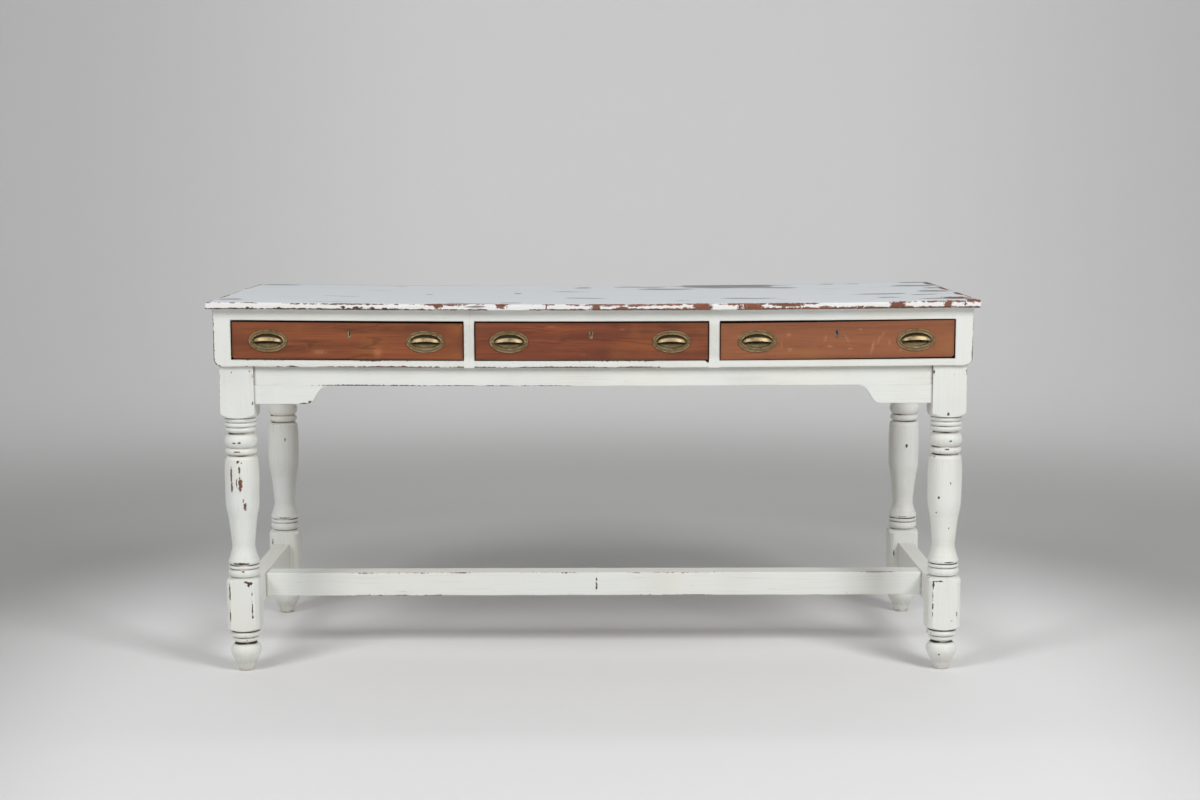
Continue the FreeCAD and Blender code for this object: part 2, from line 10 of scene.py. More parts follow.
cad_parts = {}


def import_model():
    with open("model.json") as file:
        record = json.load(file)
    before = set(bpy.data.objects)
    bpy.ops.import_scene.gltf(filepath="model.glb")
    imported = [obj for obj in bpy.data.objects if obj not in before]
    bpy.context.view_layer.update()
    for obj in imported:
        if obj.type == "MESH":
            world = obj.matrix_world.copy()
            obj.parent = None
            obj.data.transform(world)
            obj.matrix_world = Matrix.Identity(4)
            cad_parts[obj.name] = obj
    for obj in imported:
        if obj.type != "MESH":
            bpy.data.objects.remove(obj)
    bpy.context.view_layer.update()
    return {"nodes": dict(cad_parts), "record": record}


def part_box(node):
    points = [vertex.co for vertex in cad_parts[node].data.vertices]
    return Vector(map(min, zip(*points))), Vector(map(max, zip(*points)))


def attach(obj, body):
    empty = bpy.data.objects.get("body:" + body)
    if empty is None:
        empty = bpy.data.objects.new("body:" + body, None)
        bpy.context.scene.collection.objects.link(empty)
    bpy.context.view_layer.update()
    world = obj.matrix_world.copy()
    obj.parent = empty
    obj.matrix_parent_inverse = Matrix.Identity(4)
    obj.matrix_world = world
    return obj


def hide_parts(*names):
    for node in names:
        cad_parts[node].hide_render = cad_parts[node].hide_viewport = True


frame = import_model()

MM = 0.001

BODY_OF = {node: body for body, nodes in frame["record"]["behaviour"]["bodies"].items() for node in nodes}
DRAWERS = ("left", "middle", "right")
SIDES = ("left", "right")


def span(node):
    """Lowest and highest corner of a CAD node as two arrays."""
    low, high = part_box(node)
    return np.array(low), np.array(high)


# --- levels taken from the frame
TOP_LOW, TOP_HIGH = span("top_board_front")
REAR_HIGH = span("top_board_rear")[1]
HALF_TOP = TOP_HIGH[0]
FRONT_Y = TOP_LOW[1]
TOP_Z = TOP_HIGH[2]
TOP_UNDER = TOP_LOW[2]
CASE_LOW = span("case_end_right")[0]
CASE_FRONT = CASE_LOW[1]
CASE_Z = CASE_LOW[2]
OPENING_LOW = span("case_bottom_rail")[1][2]
OPENING_HIGH = span("case_top_rail")[0][2]
TOP_JOINTS = (TOP_HIGH[1], span("top_board_rear")[0][1])      # Y of the seams between the top's boards


def in_opening(points):
    """1 at the heights of the drawer openings, 0 beside the rails."""
    return ((points[:, 2] > OPENING_LOW) & (points[:, 2] < OPENING_HIGH)).astype(float)


# --- repeatable noise
def lattice(cell, seed):
    """A repeatable number from 0 to 1 for each whole-numbered lattice point."""
    h = cell[:, 0] * 374761393 + cell[:, 1] * 668265263 + cell[:, 2] * 1274126177 + seed * 974634777
    h = (h ^ (h >> 13)) & 0xFFFFFFFF
    h = (h * 1274126177) & 0xFFFFFFFF
    return ((h ^ (h >> 16)) & 0xFFFF) / 65535


def noise(points, size, seed=0):
    """Smooth noise from -1 to 1; size is the length of its features, one number or one per axis."""
    place = points / (np.ones(3) * size) + 0.137 * (seed + 1)
    low = np.floor(place).astype(np.int64)
    t = place - low
    t = t * t * (3 - 2 * t)
    total = np.zeros(len(points))
    for corner in range(8):
        step = np.array([corner & 1, corner >> 1 & 1, corner >> 2 & 1])
        total += np.prod(np.where(step, t, 1 - t), axis=1) * lattice(low + step, seed)
    return 2 * total - 1


def smoothstep(low, high, value):
    t = np.clip((value - low) / (high - low), 0, 1)
    return t * t * (3 - 2 * t)


# --- sag of the old timber
SAG_REACH = 0.74
SAG_LEVELS = (0.560, 0.622, 0.663, 0.785, 0.800)
SAG_DROPS = (0.0, 0.0030, 0.0040, 0.0042, 0.0052)
LIFT_START = 0.45
LIFT = 0.0030


def settle(points):
    """Lets the middle of the case, apron and top down a few millimetres, and lifts the top's right end."""
    x, z = points[:, 0], points[:, 2]
    bow = np.clip(1 - (x / SAG_REACH) ** 2, 0, 1)
    drop = np.interp(z, SAG_LEVELS, SAG_DROPS) * bow
    rise = np.clip((x - LIFT_START) / (HALF_TOP - LIFT_START), 0, 1) ** 2
    rise = rise * LIFT * smoothstep(TOP_UNDER, TOP_Z, z)
    out = points.copy()
    out[:, 2] += rise - drop
    return out


# --- meshes
SHARP = math.radians(35)


def stand(name, data):
    """Puts a mesh, lamp or camera into the scene."""
    obj = bpy.data.objects.new(name, data)
    bpy.context.scene.collection.objects.link(obj)
    return obj


def make_object(name, points, faces, values=None):
    """A smooth-shaded mesh object with one float attribute per entry of values."""
    mesh = bpy.data.meshes.new(name)
    mesh.from_pydata([tuple(p) for p in points], [], [list(f) for f in faces])
    for key, numbers in (values or {}).items():
        attribute = mesh.attributes.new(key, "FLOAT", "POINT")
        attribute.data.foreach_set("value", np.asarray(numbers, np.float32))
    mesh.shade_smooth()
    mesh.set_sharp_from_angle(angle=SHARP)
    return stand(name, mesh)


def read(layer, key, width=3):
    """The values of a mesh layer, one row per point."""
    flat = np.zeros(len(layer) * width)
    layer.foreach_get(key, flat)
    return flat.reshape(-1, width)


def coordinates(obj):
    return read(obj.data.vertices, "co")


def sunk(obj):
    """The piece, let down with the sagging timber."""
    return place_points(obj, settle(coordinates(obj)))


def normals(obj):
    return read(obj.data.vertices, "normal")


def rim_of(obj):
    return read(obj.data.attributes["rim"].data, "value", 1)[:, 0]


def place_points(obj, points):
    obj.data.vertices.foreach_set("co", np.asarray(points, np.float32).ravel())
    obj.data.update()
    return obj


def set_values(obj, key, numbers):
    attribute = obj.data.attributes.get(key) or obj.data.attributes.new(key, "FLOAT", "POINT")
    attribute.data.foreach_set("value", np.asarray(numbers, np.float32))


def adopt(obj, node, material):
    """Gives a finished piece its material and its body, and hides the CAD node that it stands for."""
    obj.data.materials.clear()
    obj.data.materials.append(material)
    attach(obj, BODY_OF[node])
    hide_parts(node)
    return obj


FINE_RIM = 0.008       # width of the finer grid beside a rounded end


def levels(low, high, step, round_low, round_high):
    """Grid positions from low to high, closer together near rounded ends."""
    ladder = np.array([0.0, 0.15, 0.35, 0.6, 0.8, 1.0])
    close = np.array([0.0, 0.25, 0.5, 0.75, 1.0]) * FINE_RIM
    start = low + (round_low + FINE_RIM if round_low else 0)
    stop = high - (round_high + FINE_RIM if round_high else 0)
    count = max(int(math.ceil((stop - start) / step)), 1)
    parts = [np.linspace(start, stop, count + 1)]
    if round_low:
        parts += [low + ladder * round_low, low + round_low + close]
    if round_high:
        parts += [high - ladder * round_high, high - round_high - close]
    return np.unique(np.round(np.concatenate(parts), 6))


def box_surface(xs, ys, zs):
    """Points and quads of a closed box with grid lines at the given positions."""
    shape = (len(xs), len(ys), len(zs))
    index = np.arange(shape[0] * shape[1] * shape[2]).reshape(shape)
    quads = []
    for axis in range(3):
        for end in (0, -1):
            sheet = np.take(index, end, axis=axis)
            ring = [sheet[:-1, :-1], sheet[1:, :-1], sheet[1:, 1:], sheet[:-1, 1:]]
            if (end == 0) != (axis == 1):
                ring = ring[::-1]
            quads.append(np.stack(ring, axis=-1).reshape(-1, 4))
    quads = np.concatenate(quads)
    used, inverse = np.unique(quads, return_inverse=True)
    i, j, k = np.unravel_index(used, shape)
    points = np.stack([xs[i], ys[j], zs[k]], axis=1)
    return points, inverse.reshape(-1, 4)


def ring_faces(rings, turns):
    """Quads between stacked rings of points, then the faces that close the first and the last ring."""
    index = np.arange(rings * turns).reshape(rings, turns)
    after = np.roll(index, -1, axis=1)
    quads = np.stack([index[:-1], after[:-1], after[1:], index[1:]], axis=-1).reshape(-1, 4)
    return quads.tolist() + [index[0][::-1].tolist(), index[-1].tolist()]


def arris_distance(points, low, high, radii):
    """Distance from each surface point to the nearest rounded edge of the box."""
    to_low, to_high = points - low, high - points
    sides = [(axis, (to_low, to_high)[end][:, axis]) for axis in range(3) for end in (0, 1)
             if radii[2 * axis + end] > 0]
    nearest = np.full(len(points), 1.0)
    for first_axis, first in sides:
        for second_axis, second in sides:
            if first_axis < second_axis:
                nearest = np.minimum(nearest, np.hypot(first, second))
    return nearest


def round_edges(points, low, high, radii, factor):
    """Pulls the edges of a box in to the given radii (x low, x high, y low ...), scaled point by point."""
    radii = np.array(radii)
    r_low = radii[0::2] * factor[:, None]
    r_high = radii[1::2] * factor[:, None]
    core = np.clip(points, low + r_low, high - r_high)
    reach = points - core
    radius = np.where(reach < 0, r_low, r_high)
    unit = np.where(radius > 1e-9, reach / np.maximum(radius, 1e-9), 0)
    long_side = np.abs(unit).max(axis=1)
    length = np.maximum(np.linalg.norm(unit, axis=1), 1e-9)
    return core + radius * unit * (long_side / length)[:, None]


LUMP = 0.00018         # mean depth of the lumps in a painted board


def plank(name, low, high, radii, step, edge_play=0.45, cross_step=None, keep=None, lines=((), (), ())):
    """A hand-worn board: rounded edges of uneven radius (only where keep is 1), faint lumps, and a rim value.

    The grid also gets the extra lines given for each axis."""
    steps = [step if side == np.argmax(high - low) else (cross_step or step * 1.6) for side in range(3)]
    grids = [levels(low[a], high[a], steps[a], radii[2 * a], radii[2 * a + 1]) for a in range(3)]
    grids = [np.unique(np.round(np.concatenate([grids[a], lines[a]]), 6)) for a in range(3)]
    points, faces = box_surface(*grids)
    rim = arris_distance(points, low, high, radii)
    factor = 1 + edge_play * noise(points, 0.035, 3) + 0.5 * edge_play * noise(points, 0.009, 4)
    factor = np.clip(factor, 0.3, 1.8) * (1 if keep is None else keep(points))
    points = round_edges(points, low, high, radii, factor)
    obj = make_object(name, points, faces, {"rim": rim})
    seam = np.ones(len(points))
    for axis in range(3):
        for end, edge in ((0, low), (1, high)):
            if radii[2 * axis + end] == 0:
                seam *= smoothstep(0, 0.004, np.abs(points[:, axis] - edge[axis]))
    lumps = noise(points, 0.04, 5) + 0.5 * noise(points, 0.012, 6)
    return place_points(obj, points - normals(obj) * (seam * LUMP * (1 + lumps))[:, None])


# --- paint loss
def spots(points, marks):
    """Highest value at each point of a list of marks; 0.5 is a mark's edge.

    Each mark is its centre X, Y, Z and its half sizes X, Y, Z, in millimetres."""
    value = np.zeros(len(points))
    for mark in marks:
        centre, size = np.reshape(mark, (2, 3)) * MM
        away = np.linalg.norm((points - centre) / size, axis=1)
        value = np.maximum(value, np.clip(1 - 0.5 * away, 0, 1))
    return value


def front_marks(face, rows):
    """Marks on an upright face at Y = face, from rows of X, Z and half sizes X, Y, Z in millimetres."""
    return [(across, face / MM, up, *size) for across, up, *size in rows]


WEAR_REACH = 0.0035     # how far in from an edge the paint is worn
WEAR_STRETCH = 0.11     # length of the worn stretches


def edge_wear(points, rim, amount, seed=11):
    """Paint loss along edges, in stretches."""
    stretch = 0.5 + 0.5 * noise(points, WEAR_STRETCH, seed)
    fine = 0.5 + 0.5 * noise(points, 0.018, seed + 1)
    strength = amount * (0.35 + 0.9 * smoothstep(0.35, 0.75, stretch)) * (0.55 + 0.6 * fine)
    return strength * np.exp(-(rim / WEAR_REACH) ** 2)


def finish_paint(obj, chip, grime_and_shade=None, depth=0.0004, dark=0.0):
    """Stores paint loss, soiling and painted shade, and the bare wood's darkness, and sinks the bare wood a little
    below the paint.
    """
    chip = np.clip(chip, 0, 1)
    sink = smoothstep(0.42, 0.6, chip) * depth
    place_points(obj, coordinates(obj) - normals(obj) * sink[:, None])
    set_values(obj, "chip", chip)
    set_values(obj, "grime_and_shade", np.zeros(len(chip)) if grime_and_shade is None else np.clip(grime_and_shade, 0, 1))
    set_values(obj, "dark", np.clip(dark + np.zeros(len(chip)), 0, 1))
    return obj


# --- material graphs
class Graph:
    """Adds shader nodes to one new material and joins them."""

    def __init__(self, name):
        self.material = bpy.data.materials.new(name)
        self.material.use_nodes = True
        self.tree = self.material.node_tree
        self.tree.nodes.clear()
        self.object = self.add("TexCoord").outputs["Object"]

    def add(self, kind, **settings):
        node = self.tree.nodes.new("ShaderNode" + kind)
        for key, value in settings.items():
            setattr(node, key, value)
        return node

    def feed(self, socket, value):
        if isinstance(value, bpy.types.NodeSocket):
            self.tree.links.new(value, socket)
        else:
            socket.default_value = value

    def stretched(self, scale):
        node = self.add("Mapping")
        self.feed(node.inputs["Vector"], self.object)
        node.inputs["Scale"].default_value = scale
        return node.outputs["Vector"]

    def noise(self, vector, scale, detail=3.0, rough=0.5, warp=0.0):
        node = self.add("TexNoise")
        for key, value in (("Vector", vector), ("Scale", scale), ("Detail", detail), ("Roughness", rough),
                           ("Distortion", warp)):
            self.feed(node.inputs[key], value)
        return node.outputs["Fac"]

    def value(self, name):
        return self.add("Attribute", attribute_name=name).outputs["Fac"]

    def math(self, operation, first, second=0.0, third=0.0, clamp=False):
        node = self.add("Math", operation=operation, use_clamp=clamp)
        for socket, value in zip(node.inputs, (first, second, third)):
            self.feed(socket, value)
        return node.outputs[0]

    def sway(self, fac, amount, base):
        """base, raised or lowered by a noise's swing about its middle."""
        return self.math("MULTIPLY_ADD", self.math("SUBTRACT", fac, 0.5), amount, base)

    def ramp(self, value, low, high, start=0.0, stop=1.0):
        node = self.add("MapRange", interpolation_type="SMOOTHSTEP", clamp=True)
        for key, number in (("Value", value), ("From Min", low), ("From Max", high), ("To Min", start),
                            ("To Max", stop)):
            self.feed(node.inputs[key], number)
        return node.outputs["Result"]

    def mix(self, factor, first, second):
        node = self.add("Mix", data_type="RGBA", blend_type="MIX")
        self.feed(node.inputs[0], factor)
        self.feed(node.inputs[6], first)
        self.feed(node.inputs[7], second)
        return node.outputs[2]

    def bump(self, height, distance):
        node = self.add("Bump")
        self.feed(node.inputs["Height"], height)
        node.inputs["Distance"].default_value = distance
        node.inputs["Strength"].default_value = 1.0
        return node.outputs["Normal"]

    def finish(self, colour, rough, normal, **constants):
        shader = self.add("BsdfPrincipled")
        self.feed(shader.inputs["Base Color"], colour)
        self.feed(shader.inputs["Roughness"], rough)
        self.feed(shader.inputs["Normal"], normal)
        for key, value in constants.items():
            shader.inputs[key.replace("_", " ")].default_value = value
        output = self.add("OutputMaterial")
        self.feed(output.inputs["Surface"], shader.outputs[0])
        return self.material


def rgb(red, green, blue):
    """Display colour, 0 to 255, as the linear colour that the shader wants."""
    linear = [c / 12.92 if c <= 0.04045 else ((c + 0.055) / 1.055) ** 2.4 for c in
              (red / 255, green / 255, blue / 255)]
    return (*linear, 1.0)


def along(axis, slow, fast):
    """Mapping scale with slow change along one axis and fast change across it."""
    scale = [fast, fast, fast]
    scale[axis] = slow
    return scale


def paint(name, tone, axis, streak=False, top_tone=None):
    """Old brushed paint over wood: brush marks, soiling and painted shade, ragged chips, and grey grain where it has
    thinned.
    """
    g = Graph(name)
    brush = g.noise(g.stretched(along(axis, 7, 260)), 1.0, 3, 0.6, 0.15)
    broad = g.noise(g.object, 5.0, 4, 0.55)
    fine = g.noise(g.object, 520.0, 3, 0.6)
    medium = g.noise(g.object, 150.0, 4, 0.65)
    loss = g.sway(medium, 1.3, g.value("chip"))
    loss = g.sway(fine, 0.8, loss)
    bare = g.ramp(loss, 0.485, 0.515)
    halo = g.ramp(loss, 0.41, 0.49)

    grime_and_shade = g.math("MULTIPLY", g.value("grime_and_shade"), g.ramp(medium, 0.25, 0.7, 0.55, 1.0), clamp=True)
    grain = g.noise(g.stretched(along(axis, 12, 420)), 1.0, 4, 0.6, 0.3)
    timber = g.mix(g.ramp(grain, 0.35, 0.68), rgb(106, 64, 48), rgb(150, 97, 75))
    # painted shadow of the paint's thickness: the bare wood is darker just inside each chip's edge
    timber = g.mix(g.ramp(loss, 0.50, 0.60, 0.80, 0.0), timber, rgb(52, 38, 34))
    timber = g.mix(g.math("MULTIPLY", g.value("dark"), 0.85), timber, rgb(58, 50, 47))

    # painted sheen: faces turned up take top_tone, the cool light on the top
    if top_tone:
        facing = g.add("SeparateXYZ")
        g.feed(facing.inputs[0], g.add("NewGeometry").outputs["Normal"])
        tone = g.mix(g.ramp(facing.outputs["Z"], 0.5, 0.9), tone, top_tone)
    coat = g.mix(g.ramp(broad, 0.35, 0.72, 0, 0.12 if top_tone else 0.34), tone, rgb(230, 227, 211))
    coat = g.mix(g.ramp(brush, 0.5, 0.85, 0, 0.30), coat, rgb(186, 186, 178))
    speck = g.ramp(g.noise(g.object, 160.0, 2, 0.5), 0.735, 0.78, 0, 0.35)
    coat = g.mix(speck, coat, rgb(150, 132, 112))
    # beige-grey soiling, and painted shade under the case; near black where grime_and_shade passes 0.7: painted shade
    # in the drawer gaps and deep leg grooves, and the dark joints at the legs
    coat = g.mix(grime_and_shade, coat, rgb(138, 124, 102))
    coat = g.mix(g.ramp(g.value("grime_and_shade"), 0.7, 1.0), coat, rgb(34, 28, 24))
    if streak:
        lines = g.noise(g.stretched(along(axis, 4, 120)), 1.0, 5, 0.70, 0.2)
        worn = g.sway(lines, 1.9, g.value("bare"))
        thin = g.ramp(worn, 0.38, 0.55)
        fibres = g.ramp(g.noise(g.stretched(along(axis, 14, 420)), 1.0, 3, 0.6), 0.3, 0.7)
        ash = g.mix(fibres, rgb(80, 76, 74), rgb(138, 135, 132))
        coat = g.mix(g.math("MULTIPLY", thin, 0.88), coat, ash)
    # painted shade: a brownish halo on the paint round each chip
    coat = g.mix(g.math("MULTIPLY", halo, 0.30), coat, rgb(120, 100, 84))
    colour = g.mix(bare, coat, timber)

    height = g.math("MULTIPLY_ADD", brush, 0.10, g.math("MULTIPLY", medium, 0.10))
    height = g.math("MULTIPLY_ADD", g.math("SUBTRACT", 1.0, bare), 0.8, height)
    height = g.math("MULTIPLY_ADD", g.math("MULTIPLY", grain, bare), 0.35, height)
    rough = g.ramp(bare, 0, 1, 0.50, 0.80)
    return g.finish(colour, rough, g.bump(height, 0.0005), Specular_IOR_Level=0.4)


def mahogany(name, light, dark, seed, scratches, lean, veined=0.50):
    """Rubbed reddish wood with long grain along X, pores, pale scratches and darker edges."""
    g = Graph(name)
    shift = g.add("Mapping")
    g.feed(shift.inputs["Vector"], g.object)
    shift.inputs["Location"].default_value = (seed * 3.1, seed * 1.7, seed * 0.9)
    shift.inputs["Rotation"].default_value = (0, lean, 0)
    shift.inputs["Scale"].default_value = (2.4, 36, 30)
    figure = g.noise(shift.outputs["Vector"], 1.0, 4, 0.55, 0.9)
    lines = g.noise(g.stretched((8, 300, 330)), 1.0, 4, 0.6, 0.2)
    pores = g.ramp(g.noise(g.stretched((60, 900, 1300)), 1.0, 2, 0.5), 0.60, 0.72)
    patch = g.noise(g.object, 9.0, 3, 0.5)
    colour = g.mix(g.ramp(figure, 0.32, 0.70), dark, light)
    deep = tuple(c * 0.55 for c in dark[:3]) + (1,)
    colour = g.mix(g.ramp(lines, 0.50, 0.75, 0, 0.55), colour, deep)
    golden = (light[0] * 1.02, light[1] * 1.28, light[2] * 0.9, 1)
    colour = g.mix(g.ramp(patch, 0.48, 0.70, 0, 0.60), colour, golden)
    veins = g.noise(shift.outputs["Vector"], 1.3, 3, 0.45, 0.7)
    vein = g.math("SUBTRACT", 1.0, g.ramp(g.math("ABSOLUTE", g.math("SUBTRACT", veins, 0.52)), 0.0, 0.03))
    colour = g.mix(g.math("MULTIPLY", vein, veined), colour, deep)
    colour = g.mix(g.math("MULTIPLY", pores, 0.35), colour, deep)
    worn = g.noise(g.stretched((26, 200, 60)), 1.0, 3, 0.7, 1.5)
    scratch = g.math("MULTIPLY", g.ramp(worn, 0.70, 0.76), scratches)
    pale = (min(light[0] * 1.7, 1), light[1] * 2.4, light[2] * 3.2, 1)
    colour = g.mix(scratch, colour, pale)
    rubbed = g.ramp(g.noise(g.object, 300.0, 3, 0.7), 0.35, 0.6, 0.25, 1.0)
    colour = g.mix(g.math("MULTIPLY", g.math("MULTIPLY", g.value("mark"), rubbed), 0.75), colour, pale)
    colour = g.mix(g.math("MULTIPLY", g.value("grime_and_shade"), 0.75), colour, deep)
    height = g.math("MULTIPLY_ADD", lines, 0.5, g.math("MULTIPLY", pores, -0.5))
    return g.finish(colour, g.ramp(lines, 0.3, 0.7, 0.38, 0.55), g.bump(height, 0.00025),
                    Specular_IOR_Level=0.45)


def plain_wood(name, light, dark, axis):
    """Dry unfinished board, for drawer linings and the inside of the case."""
    g = Graph(name)
    rings = g.noise(g.stretched(along(axis, 1.6, 38)), 1.0, 3, 0.5, 1.2)
    lines = g.noise(g.stretched(along(axis, 9, 380)), 1.0, 4, 0.6)
    colour = g.mix(g.ramp(rings, 0.35, 0.68), light, dark)
    deep = tuple(c * 0.5 for c in dark[:3]) + (1,)
    colour = g.mix(g.ramp(lines, 0.55, 0.8, 0, 0.6), colour, deep)
    stain = g.noise(g.object, 6.0, 4, 0.6)
    colour = g.mix(g.ramp(stain, 0.52, 0.75, 0, 0.45), colour, deep)
    height = g.math("MULTIPLY_ADD", lines, 0.7, g.math("MULTIPLY", rings, 0.3))
    return g.finish(colour, g.ramp(lines, 0.3, 0.7, 0.62, 0.82), g.bump(height, 0.0003))


def aged_metal(name, bright, dull, dark, rough):
    """Old metal: polished on raised lips, brown in the hollows and in painted shade, blotched and lightly pitted."""
    g = Graph(name)
    blotch = g.noise(g.object, 120.0, 4, 0.6)
    pits = g.noise(g.object, 1400.0, 2, 0.5)
    base = g.mix(g.ramp(blotch, 0.38, 0.66), dull, bright)
    # tarnish, and painted shade where grime_and_shade gives it, as under the pulls' hoods
    tarnish_and_shade = g.sway(blotch, 0.7, g.value("grime_and_shade"))
    colour = g.mix(g.ramp(tarnish_and_shade, 0.25, 0.8), base, dark)
    colour = g.mix(g.ramp(pits, 0.66, 0.75, 0, 0.7), colour, dark)
    roughness = g.math("ADD", g.ramp(blotch, 0.3, 0.7, rough, rough + 0.16),
                       g.ramp(tarnish_and_shade, 0.25, 0.8, 0, 0.22))
    height = g.math("MULTIPLY_ADD", pits, -0.4, g.math("MULTIPLY", blotch, 0.6))
    return g.finish(colour, roughness, g.bump(height, 0.00018), Metallic=1.0)


def studio_paper():
    """Seamless paper with painted shade: the table's shadow just behind it, a darker broad ring round it, and
    darkening towards the sides.
    """
    g = Graph("studio_paper")
    place = g.add("SeparateXYZ")
    g.feed(place.inputs[0], g.object)
    x, y = place.outputs["X"], place.outputs["Y"]

    def distance(across, deep):
        return g.math("SQRT", g.math("MULTIPLY_ADD", across, across, g.math("MULTIPLY", deep, deep)))

    behind = distance(x, g.math("MULTIPLY", g.math("SUBTRACT", y, 0.85), 1.15))
    away = distance(x, g.math("MAXIMUM", y, g.math("MULTIPLY", y, 0.4)))
    aside = g.ramp(g.math("ABSOLUTE", g.math("SUBTRACT", x, 0.3)), 0.8, 3.2)
    # painted shadow of the table on the floor just behind it
    colour = g.mix(g.ramp(behind, 0.6, 1.2), (0.49, 0.49, 0.483, 1), (0.82, 0.82, 0.825, 1))
    # painted shade: a darker ring round the table, lighter again far off
    colour = g.mix(g.ramp(away, 0.9, 1.7), colour, (0.46, 0.46, 0.455, 1))
    colour = g.mix(g.ramp(away, 2.2, 4.4), colour, (0.74, 0.74, 0.74, 1))
    # painted shade: darker towards the sides
    colour = g.mix(g.math("MULTIPLY", aside, 0.22), colour, (0, 0, 0, 1))
    return g.finish(colour, 0.75, g.bump(g.noise(g.object, 60.0, 3, 0.5), 0.0004), Specular_IOR_Level=0.15)


OFF_WHITE = rgb(227, 229, 225)
COOL_WHITE = rgb(216, 221, 226)
PAINT_X = paint("old_paint_lengthways", OFF_WHITE, 0, streak=True)
PAINT_Y = paint("old_paint_depthways", OFF_WHITE, 1, streak=True)
PAINT_Z = paint("old_paint_upright", OFF_WHITE, 2)
PAINT_TOP = paint("old_paint_top", rgb(236, 234, 232), 0, streak=True, top_tone=COOL_WHITE)
LINING_Y = plain_wood("lining_depthways", rgb(176, 138, 96), rgb(138, 100, 64), 1)
LINING_X = plain_wood("lining_lengthways", rgb(170, 132, 92), rgb(132, 95, 60), 0)
# the case's inside wood is darker than the linings: old wood, and painted shade for the dark gaps round the drawers
INNER_Y = plain_wood("inner_depthways", rgb(142, 108, 76), rgb(104, 74, 50), 1)
INNER_X = plain_wood("inner_lengthways", rgb(142, 108, 76), rgb(104, 74, 50), 0)
BRASS = aged_metal("aged_brass", rgb(190, 170, 136), rgb(150, 130, 92), rgb(74, 64, 50), 0.42)
PALE_METAL = aged_metal("worn_white_metal", rgb(150, 142, 130), rgb(118, 108, 96), rgb(70, 60, 50), 0.42)
STEEL = aged_metal("dark_steel", rgb(128, 124, 118), rgb(92, 86, 80), rgb(64, 42, 28), 0.42)
MAHOGANY = {
    "left": mahogany("mahogany_left", rgb(147, 80, 43), rgb(106, 54, 28), 1, 0.12, 0.06),
    "middle": mahogany("mahogany_middle", rgb(141, 73, 41), rgb(105, 51, 29), 2, 0.15, 0.0),
    "right": mahogany("mahogany_right", rgb(151, 92, 58), rgb(133, 78, 49), 3, 0.35, -0.03, 0.22),
}


# --- legs
def arc_through(start, middle, end, count):
    """Points along the circle through three (radius, height) points, leaving out the first."""
    (x1, y1), (x2, y2), (x3, y3) = start, middle, end
    d = 2 * (x1 * (y2 - y3) + x2 * (y3 - y1) + x3 * (y1 - y2))
    s1, s2, s3 = x1 * x1 + y1 * y1, x2 * x2 + y2 * y2, x3 * x3 + y3 * y3
    cx = (s1 * (y2 - y3) + s2 * (y3 - y1) + s3 * (y1 - y2)) / d
    cy = (s1 * (x3 - x2) + s2 * (x1 - x3) + s3 * (x2 - x1)) / d
    radius = math.hypot(x1 - cx, y1 - cy)
    first, mid, last = (math.atan2(y - cy, x - cx) for x, y in (start, middle, end))
    turn = (last - first) % (2 * math.pi)
    if (mid - first) % (2 * math.pi) > turn:
        turn -= 2 * math.pi
    return [(cx + radius * math.cos(first + turn * k / count), cy + radius * math.sin(first + turn * k / count))
            for k in range(1, count + 1)]


def curve_through(points, step):
    """Smooth curve through (radius, height) points, leaving out the first."""
    points = np.array(points, float)
    padded = np.vstack([2 * points[0] - points[1], points, 2 * points[-1] - points[-2]])
    out = []
    for k in range(len(points) - 1):
        p0, p1, p2, p3 = padded[k:k + 4]
        count = max(int(np.linalg.norm(p2 - p1) / step), 2)
        for t in np.linspace(0, 1, count + 1)[1:]:
            a, b = t * t, t * t * t
            out.append(tuple(0.5 * ((2 * p1) + (p2 - p0) * t + (2 * p0 - 5 * p1 + 4 * p2 - p3) * a
                                    + (3 * p1 - p0 - 3 * p2 + p3) * b)))
    return out


LEG_TOP = 663.0
SQUARE_UPPER = 36.0
SQUARE_LOWER = 35.0
CHAMFER_LOWER = 9.0
SHOULDERS = (92.5, 202.5, 554.5)      # heights of the squared parts' turned ends


